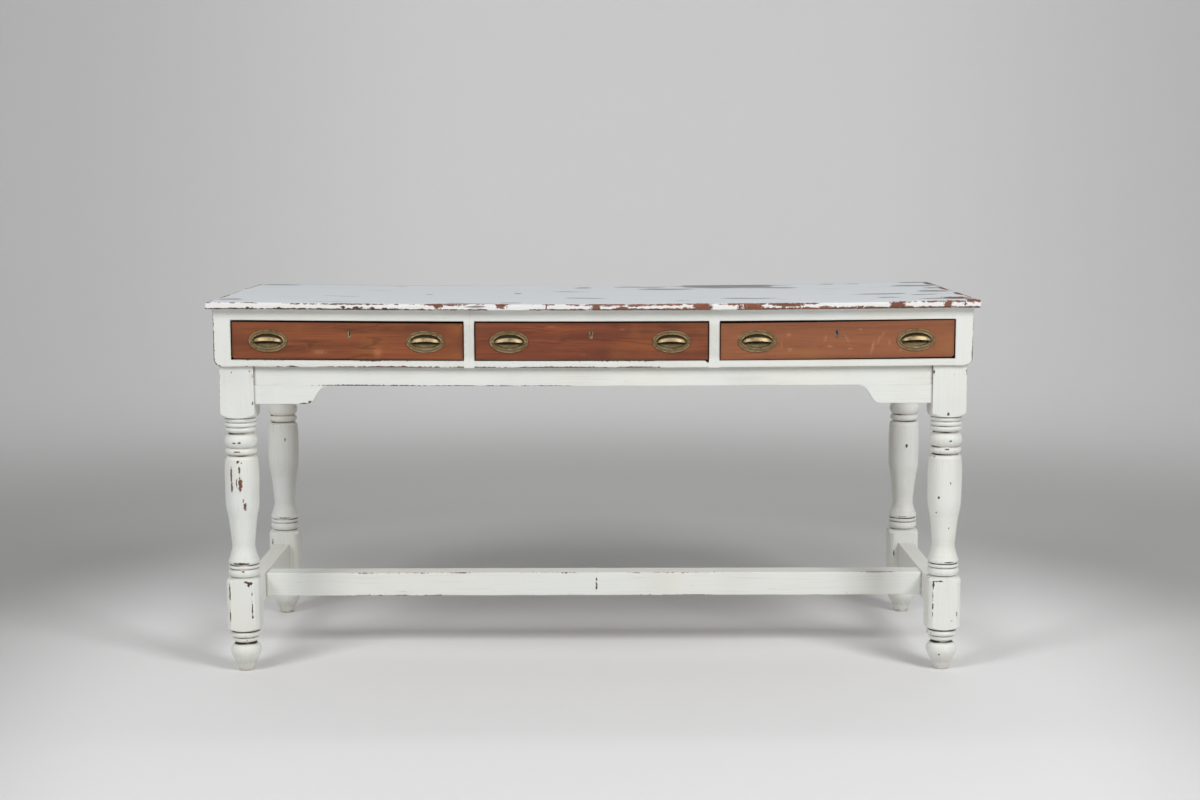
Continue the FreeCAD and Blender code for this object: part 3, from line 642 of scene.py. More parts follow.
def leg_profile():
    """(radius, height, block) rows of a leg in millimetres; block names the squared parts."""
    rows = [(0.1, 0.0), (8.0, 0.0), (14.6, 0.0), (15.6, 0.8)]
    rows += curve_through([(15.6, 0.8), (17.8, 5), (22.3, 19), (29.8, 33), (32.8, 44), (30.4, 54),
                           (23.0, 61)], 1.6)
    rows += [(22.6, 62.5), (23.2, 64.2)]
    rows += arc_through((24.0, 65), (28.4, 70.5), (24.2, 76), 10)
    rows += arc_through((24.2, 76), (33.4, 81.5), (28.0, 88), 14)
    turned_low = [(r, z, None) for r, z in rows]
    lower = [(29.0, 90.0), (32.0, 90.3), (35.2, 91.2), (38.0, 92.3), (40.5, 93.8), (43.0, 95.6), (46.0, 98.4)]
    upper_end = [(46.0, 195.0), (43.0, 198.4), (40.5, 200.4), (38.0, 202.2), (35.0, 203.6), (31.0, 204.7),
                 (28.6, 205.2)]
    middle = [(46.0, z) for z in np.arange(100.0, 194.0, 2.2)]
    block_low = [(r, z, "lower") for r, z in lower + middle + upper_end]
    rows = arc_through((27.6, 206), (33.7, 216), (30.2, 225.0), 14)
    rows += arc_through((30.2, 225.0), (33.3, 229.2), (30.6, 233), 8)
    rows += [(30.4, 234.0), (32.6, 236.2), (33.3, 238.4)]
    rows += curve_through([(33.3, 238.4), (32.4, 243), (28.6, 254), (24.9, 269), (25.2, 284), (30.0, 330),
                           (35.3, 361), (36.3, 395), (36.5, 436), (35.0, 461)], 1.7)
    rows += arc_through((35.0, 461), (32.0, 467.2), (26.8, 469.5), 7)
    rows += [(26.2, 470.6)]
    rows += arc_through((26.8, 471.6), (33.8, 479), (29.6, 485.8), 12)
    rows += [(28.8, 486.8)]
    rows += arc_through((29.6, 487.8), (35.4, 502), (27.2, 516.4), 18)
    rows += [(26.7, 517.8), (27.2, 519.4), (30.6, 520.8)]
    for low in (521.4, 531.6, 541.8):
        rows += arc_through((31.0, low), (34.0, low + 5.0), (31.2, low + 9.4), 9)
        rows += [(30.4, low + 9.8)]
    turned_high = [(r, z, None) for r, z in rows]
    shoulder = [(32.6, 551.5), (36.0, 551.9), (38.5, 552.7), (41.0, 553.8), (43.5, 555.2), (46.0, 556.9),
                (48.5, 559.0), (52.0, 562.4)]
    rising = [(52.0, z) for z in np.arange(564.5, LEG_TOP, 2.6)]
    cap = [(52.0, LEG_TOP), (30.0, LEG_TOP), (0.1, LEG_TOP)]
    block_high = [(r, z, "upper") for r, z in shoulder + rising + cap]
    return turned_low + block_low + turned_high + block_high


def square_reach(angle, half, chamfer, corner):
    """Distance from the axis to a chamfered square with softened corners, in each direction."""
    c, s = np.abs(np.cos(angle)), np.abs(np.sin(angle))
    flat = half / np.maximum(c, s)
    cut = (2 * half - chamfer) / (c + s)
    edge = np.minimum(flat, cut)
    softness = corner * np.exp(-((flat - cut) / (2.2 * corner + 1e-6)) ** 2)
    return edge - 0.35 * softness


LEG_TURNS = 160
# paint chips on each leg in millimetres: X and Y from the leg's axis, Z, half sizes
LEG_CHIPS = {
    "front_left": [
        (-9.8, -34, 499, 3.8, 10, 1.4), (2.3, -35, 499.4, 4, 10, 1.5), (-3.2, -34, 480.2, 8, 10, 1.4),
        (-2.3, -34, 458.5, 3, 10, 3), (6, -34, 456.5, 1.2, 10, 1.4), (-16.7, -32, 432, 2, 12, 14),
        (-16.2, -32, 405, 1.9, 12, 13), (1.5, -36, 442, 1.8, 10, 8.5), (3, -36, 410.5, 4, 10, 13.5),
        (-5.2, -36, 413, 1.3, 10, 8.5), (8.2, -36, 376, 1.3, 10, 4.4), (11.4, -35, 362, 3.6, 10, 8.8),
        (-3, -33, 238.5, 16, 10, 2.2), (3, -33, 221.5, 4.2, 10, 1.3), (13, -35, 198.5, 9, 8, 1.8),
        (15, -35, 193.5, 3, 6, 4.6), (21, -35, 196, 1.8, 6, 3), (-26.2, -35, 186, 1.3, 6, 13),
        (-25.8, -35, 169, 2, 6, 8), (-26.2, -35, 126, 1.3, 6, 14), (21.5, -35, 174, 1.4, 6, 4),
        (21.8, -35, 142, 1.3, 6, 12), (22.2, -35, 123, 1.4, 6, 4), (-10, -36, 650, 1.2, 6, 2),
        (28, -36, 652, 3, 6, 1.4), (34, -36, 640, 1.2, 6, 10), (-18, -36, 631, 1.6, 6, 1.2),
        (32.5, -36, 585, 1.2, 6, 5),
    ],
    "front_right": [
        (4, -34, 501, 3.2, 10, 1.8), (-2, -34, 483, 4.6, 10, 1.6), (-17.9, -31, 379, 2.2, 12, 2.8),
        (-21.4, -26, 346.2, 1.2, 12, 1.5), (6, -36, 411, 1, 10, 3), (6, -32, 312, 1.2, 10, 2.2),
        (-25.5, -35, 190, 2, 6, 8), (-26.2, -35, 164, 1.1, 6, 8), (-26.2, -35, 144, 1.4, 6, 6),
        (-26.5, -35, 126, 1, 6, 6), (-14, -35, 198.5, 9, 8, 1.4), (-9.6, -28, 36.2, 1.8, 10, 1.8),
        (25.5, -35, 128, 1.1, 6, 6), (6, -33, 238.5, 10, 10, 1.3), (-34, -36, 648, 1.6, 6, 6),
        (35, -36, 650, 1.4, 6, 8), (-2, -36, 559, 2, 6, 3), (8, -36, 642, 1.2, 6, 1.4), (15, -35, 112, 5, 6, 1),
    ],
    "rear_left": [
        (10, -34, 430, 1.4, 10, 4), (-25.5, -35, 180, 1.4, 6, 7), (0, 36, 410, 3, 10, 10), (6, -33, 238.5, 14, 10, 1),
    ],
    "rear_right": [
        (1, -36, 412, 2.5, 10, 3.5), (-25, -35, 150, 1.4, 6, 8), (12, 34, 440, 3, 10, 10),
        (-6, -33, 238.5, 12, 10, 1),
    ],
}


def leg(row, side, seed):
    node = "leg_" + row + "_" + side
    low, high = span(node)
    centre = (low + high) / 2
    profile = leg_profile()
    angle = np.linspace(0, 2 * math.pi, LEG_TURNS, endpoint=False)
    upper = square_reach(angle, SQUARE_UPPER, 0.0, 1.6)
    lower = square_reach(angle, SQUARE_LOWER, CHAMFER_LOWER, 1.2)
    radii = np.array([
        np.minimum(upper, r) if block == "upper" else np.minimum(lower, r) if block == "lower"
        else np.full(LEG_TURNS, r) for r, z, block in profile])
    heights = np.array([z for r, z, block in profile])
    squared = np.array([block is not None for r, z, block in profile])
    points = np.stack([radii * np.cos(angle), radii * np.sin(angle),
                       np.repeat(heights[:, None], LEG_TURNS, axis=1)], axis=-1) * MM
    points = points.reshape(-1, 3)

    turned = np.repeat(~squared, LEG_TURNS)
    mean_r = radii.mean(axis=1)
    soft = np.array([np.average(mean_r, weights=np.exp(-((heights - h) / 4.0) ** 2)) for h in heights])
    groove = np.repeat(np.clip((soft - mean_r) / 1.6, 0, 1) * ~squared, LEG_TURNS)
    ridge = np.repeat(np.clip((mean_r - soft) / 1.3, 0, 1) * ~squared, LEG_TURNS)

    here = points + np.array([centre[0], centre[1], 0])
    obj = make_object(node + "_look", here, ring_faces(len(profile), LEG_TURNS))
    lumps = noise(here, 0.030, seed) + 0.6 * noise(here, 0.009, seed + 1)
    ends = smoothstep(0, 0.004, points[:, 2]) * smoothstep(0, 0.004, LEG_TOP * MM - points[:, 2])
    place_points(obj, here - normals(obj) * (0.00022 * ends * (1 + lumps))[:, None])

    r = np.hypot(points[:, 0], points[:, 1])
    reach = np.repeat(heights, LEG_TURNS)
    block_reach = np.where(reach > 300, SQUARE_UPPER, SQUARE_LOWER) * MM
    corner_at = np.where(reach > 300, 1.34, 1.24)
    diagonal = np.clip((r - block_reach * corner_at) / (block_reach * 0.05), 0, 1) * ~turned
    chip = spots(points, LEG_CHIPS[row + "_" + side])
    patch = smoothstep(0.45, 0.8, 0.5 + 0.5 * noise(here, 0.045, seed + 7))
    chip = np.maximum(chip, ridge * (0.10 + 0.26 * patch))
    upper_part = points[:, 2] > 0.3
    wear = np.where(upper_part, 0.30 if side == "left" else 0.22, 0.20) + 0.22 * patch
    chip = np.maximum(chip, diagonal * wear)
    end_ring = np.min([np.abs(points[:, 2] - shoulder * MM) for shoulder in SHOULDERS], axis=0)
    chip = np.maximum(chip, np.exp(-(end_ring / 0.0016) ** 2) * ~turned * (0.16 + 0.30 * patch))
    foot = np.exp(-points[:, 2] / 0.022)
    patchy = 0.75 + 0.5 * noise(here, 0.02, seed + 5)
    # painted shade with dirt in the grooves of the turnings, stronger below 0.26 m and near black where deepest; dust
    # at the foot
    groove_dirt_and_shade = np.where(points[:, 2] < 0.26, 1.7, 0.9)
    grime_and_shade = groove_dirt_and_shade * groove * patchy + 0.50 * foot + 0.12 * np.clip(noise(here, 0.05, seed + 4), 0, 1)
    grime_and_shade = np.minimum(grime_and_shade, np.where(points[:, 2] < 0.05, 0.68, 1.0))
    red = smoothstep(0.33, 0.36, points[:, 2]) * smoothstep(0.45, 0.42, points[:, 2])
    red = red if (row, side) == ("front", "left") else 0
    finish_paint(obj, chip, grime_and_shade, dark=0.80 - 0.65 * red + 0.2 * noise(here, 0.02, seed + 6))
    return adopt(obj, node, PAINT_Z)


for number, (row, side) in enumerate((r, s) for r in ("front", "rear") for s in SIDES):
    leg(row, side, 40 + 17 * number)


# --- aprons and stretchers
def painted_plank(node, radii_mm, material, amount, marks=(), step=0.006, settled=True, shade=None, seed=0,
                  shape=None, bare=0.0, keep=None, dark=0.3, worn_to=None, lines=((), (), ())):
    """A painted rail in the place of its CAD node, without the hidden tenons; worn_to is where its wear ends in X."""
    low, high = shape or span(node)
    obj = plank(node + "_look", low, high, [r * MM for r in radii_mm], step, keep=keep,
                lines=lines)
    points = coordinates(obj)
    worn = edge_wear(points, rim_of(obj), amount, seed=11 + seed) * (1 if keep is None else keep(points))
    if worn_to is not None:
        worn *= smoothstep(worn_to + 0.03, worn_to - 0.03, points[:, 0])
    chip = np.maximum(worn, spots(points, front_marks(low[1], marks)))
    grime_and_shade = 0.10 * np.clip(noise(points, 0.08, 21 + seed), 0, 1)
    if shade is not None:
        grime_and_shade = grime_and_shade + shade(points)
    finish_paint(obj, chip, grime_and_shade, dark=dark)
    set_values(obj, "bare", np.full(len(points), bare) + 0.2 * noise(points, 0.2, 31 + seed))
    return adopt(sunk(obj) if settled else obj, node, material)


def trimmed(node, axis, ends):
    """A node's box cut back along one axis, so that tenons are left out."""
    low, high = span(node)
    low[axis], high[axis] = ends
    return low, high


LEG_LOW, LEG_HIGH = span("leg_front_right")
LEG_MID = (LEG_LOW + LEG_HIGH) / 2
REAR_MID = sum(span("leg_rear_right")) / 2
BLOCK = SQUARE_UPPER * MM
APRON_ENDS = (-LEG_MID[0] + BLOCK, LEG_MID[0] - BLOCK)
SIDE_ENDS = (LEG_MID[1] + BLOCK, REAR_MID[1] - BLOCK)
LOWER_ENDS = (LEG_MID[1] + SQUARE_LOWER * MM, REAR_MID[1] - SQUARE_LOWER * MM)
BRACKET_TIP = span("bracket_front_right")[0][0]


def under_case(points):
    """Painted shade, with some dust, just under the case."""
    return 0.22 * np.exp(-(CASE_Z - points[:, 2]) / 0.006)


# paint chips on the front face: X, Z, half sizes
APRON_MARKS = [(-505, 622.5, 62, 4, 2.4), (-300, 622.2, 60, 4, 1.6),
               (-100, 622.2, 50, 4, 1.4)]


def apron_shade_and_dirt(points):
    """Painted shade with dust under the case, and a dark line where the apron meets each leg."""
    return under_case(points) + 0.85 * np.exp(-(APRON_ENDS[1] - np.abs(points[:, 0])) / 0.0009)


painted_plank("apron_front", (0, 0, 1.6, 1.6, 1.6, 0), PAINT_X, 0.62, APRON_MARKS,
              shape=trimmed("apron_front", 0, APRON_ENDS), shade=apron_shade_and_dirt, seed=1,
              keep=lambda points: (np.abs(points[:, 0]) < BRACKET_TIP + 0.001).astype(float), dark=0.6,
              worn_to=-0.05)
painted_plank("apron_rear", (0, 0, 1.6, 1.6, 1.6, 0), PAINT_X, 0.55,
              shape=trimmed("apron_rear", 0, APRON_ENDS), shade=under_case, seed=2)
for number, side in enumerate(SIDES):
    painted_plank("apron_" + side, (1.6, 1.6, 0, 0, 1.6, 0), PAINT_Y, 0.55,
                  shape=trimmed("apron_" + side, 1, SIDE_ENDS), shade=under_case, seed=3 + number)
    painted_plank("stretcher_" + side, (2.4, 2.4, 0, 0, 2.4, 2.4), PAINT_Y, 0.30, settled=False,
                  shape=trimmed("stretcher_" + side, 1, LOWER_ENDS), seed=5 + number, bare=0.0, dark=0.8)
SIDE_INNER = span("stretcher_right")[0][0]
STRETCHER_MARKS = [(630, 175, 45, 3, 1), (5, 150, 1.6, 4, 18), (-300, 174.5, 20, 3, 1.4),
                   (220, 122.5, 30, 3, 1.4)]
painted_plank("stretcher_long", (0, 0, 2.4, 2.4, 2.4, 2.4), PAINT_X, 0.45, STRETCHER_MARKS, settled=False,
              shape=trimmed("stretcher_long", 0, (-SIDE_INNER, SIDE_INNER)), seed=8, bare=0.04, dark=0.7,
              shade=lambda points: 0.85 * np.exp(-(SIDE_INNER - np.abs(points[:, 0])) / 0.0009))


# --- brackets and case ends
OGEE = [(0, 38.5), (0.03, 38.1), (0.07, 35.2), (0.1, 30.2), (0.13, 23), (0.16, 15.2), (0.19, 8), (0.215, 3.6),
        (0.245, 1), (0.28, 0), (1, 0)]


def bracket(side):
    """Ogee bracket glued under the end of the apron."""
    node = "bracket_front_" + side
    low, high = span("bracket_front_right")
    obj = plank(node + "_look", low + np.array([0, 0.0001, 0]), high,
                [r * MM for r in (0, 0, 1.6, 1.6, 1.6, 0)], 0.002, edge_play=0.3, cross_step=0.004)
    points = coordinates(obj)
    share = (points[:, 0] - low[0]) / (high[0] - low[0])
    lift = np.interp(share, *zip(*OGEE)) * MM
    points[:, 2] = high[2] - (high[2] - points[:, 2]) * (high[2] - low[2] - lift) / (high[2] - low[2])
    if side == "left":
        points[:, 0] *= -1
        obj.data.flip_normals()
    place_points(obj, points)
    curved = smoothstep(0.36, 0.28, share)
    amount = 1.0 if side == "left" else 0.42
    chip = edge_wear(points, rim_of(obj), amount, seed=61) * curved
    if side == "left":
        chip = np.maximum(chip, spots(points, front_marks(low[1], [(-612, 583, 9, 10, 2.2), (-598, 587, 3, 4, 3)])))
    against_leg = np.exp(-(1 - share) * (high[0] - low[0]) / 0.0012)
    finish_paint(obj, chip, 0.75 * against_leg + 0.08 * np.clip(noise(points, 0.05, 63), 0, 1), dark=0.75)
    set_values(obj, "bare", np.zeros(len(points)))
    return adopt(sunk(obj), node, PAINT_X)


CASE_CORNER = 16.5 * MM
GAP_SHADE, GAP_SHADE_REACH = 0.95, 0.0006     # darkness and width of the painted shade beside a drawer opening


def case_end(side):
    """Thick end of the case, its lower outer edge well rounded."""
    node = "case_end_" + side
    low, high = span("case_end_right")
    radius = CASE_CORNER
    obj = plank(node + "_look", low, high, [r * MM for r in (0, 0.8, 0.8, 0.8, 0.8, 0)], 0.008,
                cross_step=0.0022)
    points = coordinates(obj)
    out = (points[:, 0] - (high[0] - radius)) / radius
    down = (low[2] + radius - points[:, 2]) / radius
    corner = (out > 0) & (down > 0)
    bend = np.where(corner, np.maximum(out, down) / np.maximum(np.hypot(out, down), 1e-9), 1)
    points[:, 0] = np.where(corner, high[0] - radius + out * radius * bend, points[:, 0])
    points[:, 2] = np.where(corner, low[2] + radius - down * radius * bend, points[:, 2])
    if side == "left":
        points[:, 0] *= -1
        obj.data.flip_normals()
    place_points(obj, points)
    to_face = np.minimum(points[:, 1] - low[1], high[1] - points[:, 1])
    skin = np.where(corner, radius * (1 - np.maximum(out, down)), high[0] - np.abs(points[:, 0]))
    arris = np.hypot(to_face, skin)
    uneven = 0.6 + 0.5 * noise(points, 0.045, 71 + len(side)) + 0.3 * noise(points, 0.012, 72)
    width = (2.8 if side == "left" else 2.5) * MM
    width = width * np.clip(uneven, 0.15, 1.4) * np.where(points[:, 2] > high[2] - 0.020, 0.4, 1.0)
    chip = np.clip(1 - 0.5 * arris / width, 0, 1)
    # painted shade: near black on the inner face beside the drawer openings; the underside is darker too
    inner = GAP_SHADE * np.exp(-(np.abs(points[:, 0]) - low[0]) / GAP_SHADE_REACH) * in_opening(points)
    underside = np.exp(-(points[:, 2] - low[2]) / 0.0008)
    finish_paint(obj, chip, inner + 0.5 * underside, 0.0005, dark=0.65 if side == "left" else 0.85)
    set_values(obj, "bare", np.zeros(len(points)))
    return adopt(sunk(obj), node, PAINT_Z)


for side in SIDES:
    bracket(side)
    case_end(side)


# --- case rails and dividers
BOTTOM_MARKS = [(-550, 663.2, 30, 4, 1.8), (-630, 663.4, 10, 4, 2.6), (-430, 663, 110, 5, 3),
                (-250, 663.2, 50, 5, 2.6), (-60, 663, 110, 5, 2.8), (95, 663.2, 45, 5, 2.6)]
NOTCH_X, NOTCH_HALF, NOTCH_DEEP = 0.2405, 0.0055, 0.0055


def above_opening(points):
    """Painted shade, near black, on the underside of the top rail above the drawers."""
    return GAP_SHADE * np.exp(-(points[:, 2] - OPENING_HIGH) / GAP_SHADE_REACH)


def below_opening(points):
    """Painted shade, near black, on the bottom rail's upper face below the drawers; the rail is also darker along its
    lower edge.
    """
    upper = GAP_SHADE * np.exp(-(OPENING_LOW - points[:, 2]) / GAP_SHADE_REACH)
    return upper + 0.55 * np.exp(-(points[:, 2] - CASE_Z) / 0.0012)


def beside_opening(node):
    """Darker grey on the dividers between the drawers, and painted shade, near black, on their side faces."""
    low, high = span(node)

    def darkening(points):
        x, z = points[:, 0], points[:, 2]
        side = np.exp(-np.minimum(x - low[0], high[0] - x) / GAP_SHADE_REACH)
        greyer_band = smoothstep(OPENING_LOW, OPENING_LOW + 0.012, z) * smoothstep(OPENING_HIGH, OPENING_HIGH - 0.012, z)
        # painted shade: near black on the side faces inside the openings; plus the greyer band
        return GAP_SHADE * in_opening(points) * side + 0.24 * greyer_band

    return darkening


bottom_rail = painted_plank("case_bottom_rail", (0, 0, 0.9, 0.6, 1.4, 0.7), PAINT_X, 0.62, BOTTOM_MARKS, step=0.003,
                            seed=12, shade=below_opening, dark=0.45, worn_to=0.14)
rail_points = coordinates(bottom_rail)
notch = np.clip(1 - np.abs(rail_points[:, 0] - NOTCH_X) / NOTCH_HALF, 0, 1)
notch *= smoothstep(0.667, 0.671, rail_points[:, 2]) * (rail_points[:, 1] < CASE_FRONT + 0.016)
rail_points[:, 2] -= NOTCH_DEEP * notch
place_points(bottom_rail, rail_points)
# mortises in the rail's underside for the risen lock bolts
KEEPER_PLAY, KEEPER_WALL, KEEPER_DEEP = 0.0010, 0.0001, 0.0075
KEEPERS = []
for name in DRAWERS:
    bolt_low, bolt_high = span("drawer_" + name + "_lock_bolt")
    KEEPERS.append((bolt_low[:2] - KEEPER_PLAY, bolt_high[:2] + KEEPER_PLAY))
keeper_lines = [[value for low, high in KEEPERS for value in
                 (low[axis] - KEEPER_WALL, low[axis], high[axis], high[axis] + KEEPER_WALL)] for axis in (0, 1)]
top_rail = painted_plank("case_top_rail", (0, 0, 0.7, 0.6, 0.7, 0), PAINT_X, 0.22, step=0.005, seed=13,
                         shade=above_opening, lines=(*keeper_lines, ()))
rail_points = coordinates(top_rail)
for low, high in KEEPERS:
    past_low = rail_points[:, :2] > low - KEEPER_WALL / 2
    inside = np.all(past_low & (rail_points[:, :2] < high + KEEPER_WALL / 2), axis=1)
    underside = rail_points[:, 2] < OPENING_HIGH + 0.002
    rail_points[:, 2] += KEEPER_DEEP * (inside & underside)
place_points(top_rail, rail_points)
for number, side in enumerate(SIDES):
    painted_plank("case_divider_" + side, (0.7, 0.7, 0, 0, 0, 0), PAINT_Z, 0.2, step=0.003, seed=14 + number,
                  shade=beside_opening("case_divider_" + side), keep=in_opening)
painted_plank("case_back", (0, 0, 0.5, 0.8, 1.0, 0), PAINT_X, 0.35, step=0.008, seed=17, bare=0.02)


# --- top
# Marks of the top, all in millimetres.
# worn line along the upper and the lower arris of the front edge: X, width
UPPER_LOSS = [(-810, 1.9), (-700, 1.7), (-690, 0.3), (-665, 0.5), (-640, 2.4), (-560, 2.4), (-530, 3.2), (-500, 2.2),
              (-360, 2.2), (-345, 3.6), (-300, 3.4), (-225, 1.4), (-215, 0), (-135, 0), (-125, 2.2), (-10, 2.8),
              (0, 4.4), (100, 4.2), (200, 2.8), (250, 0.9), (270, 2.4), (340, 3.9), (460, 3.4), (478, 0.4),
              (610, 0.4), (620, 2.8), (730, 2.6), (780, 3.6), (810, 3.6)]
LOWER_LOSS = [(-810, 2.6), (-700, 2.7), (-540, 3), (-500, 3.6), (-360, 3.2), (-330, 2.6), (-225, 2.8), (-215, 0),
              (-140, 0), (-130, 2.9), (0, 3.4), (140, 4.6), (210, 5.2), (250, 1.2), (300, 1.6), (310, 4.6),
              (450, 5.2), (600, 5.4), (650, 4.6), (740, 3.8), (810, 3.4)]
# chips in the front edge: X, Z, half sizes
TOP_SPOTS = [(-323, 798.5, 10, 10, 10), (-190, 799.5, 12.5, 10, 9.5),
             (6, 792.5, 10, 10, 12), (229, 792.5, 18, 10, 14), (634, 793, 14, 10, 9),
             (740, 792.5, 8, 10, 12), (-98, 793, 1.6, 6, 8), (330, 793.5, 26, 10, 7.5),
             (405, 796, 30, 10, 4), (60, 790, 12, 8, 4)]
# places worn to bare wood on the upper face: X, Y, half sizes X and Y
TOP_PATCHES = [(768, -238, 26, 30), (790, -290, 12, 20), (798, -120, 7, 45),
               (798, 60, 6, 50), (796, 240, 9, 40)]
# dark nicks in the front edge: X, Z, size
TOP_NICKS = [(-720, 788.5, 3.2), (-709, 788.7, 3), (-521, 791.5, 4.5), (-494, 790.5, 5.2), (-483, 790.5, 4.2),
             (-460, 789, 4.8), (-434, 788.5, 4.2), (776, 791.5, 3), (-600, 787, 4), (-570, 786.8, 5),
             (-655, 786.8, 6)]
# long worn streaks in the top's paint: start X, end X, Y, half width in Y, strength from 0 to 1
STREAKS = [(-800, -700, 285, 14, 0.85), (-800, -745, -225, 16, 0.75), (-610, -510, -90, 8, 0.62),
           (-640, -500, -265, 10, 0.5), (-560, -430, 95, 7, 0.52), (-376, -356, -17, 14, 0.55),
           (-180, -160, 15, 12, 0.8), (-195, -150, -278, 10, 0.68), (-320, -205, -298, 12, 0.62),
           (-45, -2, 215, 16, 0.75), (-100, -2, 75, 12, 0.5), (-66, 32, -135, 14, 0.68), (50, 175, 245, 14, 0.85),
           (105, 235, 165, 24, 0.75), (215, 425, 270, 70, 0.98), (385, 480, 190, 18, 0.8), (275, 395, -160, 15, 0.75),
           (170, 215, -215, 10, 0.52), (545, 580, 290, 14, 0.6), (605, 640, 290, 14, 0.55), (735, 806, 290, 18, 0.95),
           (695, 800, 170, 20, 0.78), (580, 690, -75, 16, 0.75), (610, 660, -190, 14, 0.7),
           (690, 755, -130, 12, 0.72), (725, 795, -20, 24, 0.78), (755, 805, 80, 18, 0.7), (690, 800, -255, 18, 0.72),
           (120, 290, -300, 8, 0.5), (-480, -440, 265, 10, 0.45)]


def board_values(points):
    """Paint loss and dark dirt of the whole top, at points before it settles."""
    x, y, z = points.T
    ragged = 1 + 0.40 * noise(points, 0.014, 81) + 0.30 * noise(points, 0.005, 82)
    upper = np.interp(x / MM, *zip(*UPPER_LOSS)) * MM * ragged
    lower = np.interp(x / MM, *zip(*LOWER_LOSS)) * MM * (1 + 0.40 * noise(points, 0.010, 84))
    chip = np.zeros(len(points))
    for width, level in ((upper, TOP_Z), (lower, TOP_UNDER)):
        away = np.hypot(1.3 * (y - FRONT_Y), z - level)
        chip = np.maximum(chip, np.clip(1 - 0.5 * away / np.maximum(width, 1e-5), 0, 1))
    on_front = smoothstep(0.012, 0.006, y - FRONT_Y)
    chips = spots(points, front_marks(FRONT_Y, TOP_SPOTS))
    chip = np.maximum(chip, chips * on_front)
    worn = spots(points, [(at, back, TOP_Z / MM, *size, 4) for at, back, *size in TOP_PATCHES])
    chip = np.maximum(chip, worn)
    nicks = spots(points, front_marks(FRONT_Y, [(at, up, size, 8, 0.55 * size) for at, up, size in TOP_NICKS]))
    chip = np.maximum(chip, nicks * on_front)
    darkening = np.maximum(smoothstep(-0.30, -0.42, x) * 0.75, smoothstep(0.4, 0.5, nicks)) * on_front
    side_edge, rear_edge = HALF_TOP - np.abs(x), REAR_HIGH[1] - y
    nearest = np.minimum(side_edge, rear_edge)
    rim = np.minimum(np.hypot(nearest, TOP_Z - z), np.hypot(nearest, z - TOP_UNDER))
    uneven = 0.55 + 0.6 * noise(points, 0.06, 83) + 0.35 * noise(points, 0.014, 85)
    width = (2.9 + 1.6 * smoothstep(0.2, 0.8, x)) * MM * np.clip(uneven, 0.1, 1.6)
    end_width = (3.4 + 1.6 * (x < 0)) * MM * (1 + 0.6 * noise(points, 0.05, 86))
    width = np.where(side_edge < rear_edge, width + end_width, width + 1.2 * MM * (x < -0.3))
    chip = np.maximum(chip, np.clip(1 - 0.5 * rim / width, 0, 1) * (1 - on_front))
    darkening = np.maximum(darkening, smoothstep(0.010, 0.004, nearest) * smoothstep(0.3, -0.1, x) * 0.7)
    return chip, darkening


def bareness(points):
    """Where the top's paint has thinned to grey wood: listed streaks, the rear edge and the right end."""
    x, y, z = points.T
    value = np.zeros(len(points))
    for *place, strength in STREAKS:
        start, end, line, half = np.array(place) * MM
        centre, reach = (start + end) / 2, (end - start) / 2
        wave = line + min(0.35 * half, 0.006) * np.sin((x - start) * 60)
        along_x = np.abs(x - centre) / reach
        across = np.abs(y - wave) / (half * np.sqrt(np.clip(1.15 - along_x ** 2, 0.02, 1)))
        value = np.maximum(value, strength * np.clip(1.35 - 0.75 * np.maximum(across, along_x), 0, 1))
    joints = sum(np.exp(-((y - joint) / 0.005) ** 2) for joint in TOP_JOINTS)
    drift = 0.10 * noise(points, (0.25, 0.03, 1.0), 91)
    rear = 0.24 * np.exp(-((REAR_HIGH[1] - y) / 0.02) ** 2)
    right = 0.14 * smoothstep(0.62, 0.80, x)
    return np.clip(np.maximum(value, 0.10 + 0.20 * joints + rear + right + drift), 0, 1)


def top_board(name, front, back, radii):
    node = "top_board_" + name
    low, high = np.array([-HALF_TOP, front, TOP_UNDER]), np.array([HALF_TOP, back, TOP_Z])
    obj = plank(node + "_look", low, high, [r * MM for r in radii], 0.0035, edge_play=0.5, cross_step=0.010)
    points = coordinates(obj)
    chip, darkening = board_values(points)
    finish_paint(obj, chip, depth=0.0006, dark=darkening)
    cupped = coordinates(obj)
    cupped[:, 2] += 0.0005 * noise(cupped, (0.35, 0.12, 1.0), 95) * smoothstep(TOP_UNDER, TOP_Z, cupped[:, 2])
    place_points(obj, settle(cupped))
    set_values(obj, "bare", bareness(points))
    return adopt(obj, node, PAINT_TOP)


top_board("front", FRONT_Y, TOP_JOINTS[0], (4, 4, 4, 0.5, 3.2, 4))
top_board("middle", *TOP_JOINTS, (4, 4, 0.5, 0.5, 3.2, 4))
top_board("rear", TOP_JOINTS[1], REAR_HIGH[1], (4, 4, 0.5, 4, 3.2, 4))


# --- pieces that keep their CAD shape
def clean_copy(node):
    """The node's mesh as a new bmesh with its seams closed and flat faces joined."""
    mesh = bmesh.new()
    mesh.from_mesh(frame["nodes"][node].data)
    bmesh.ops.remove_doubles(mesh, verts=mesh.verts, dist=1e-6)
    bmesh.ops.dissolve_limit(mesh, angle_limit=math.radians(1.0), verts=mesh.verts, edges=mesh.edges)
    return mesh


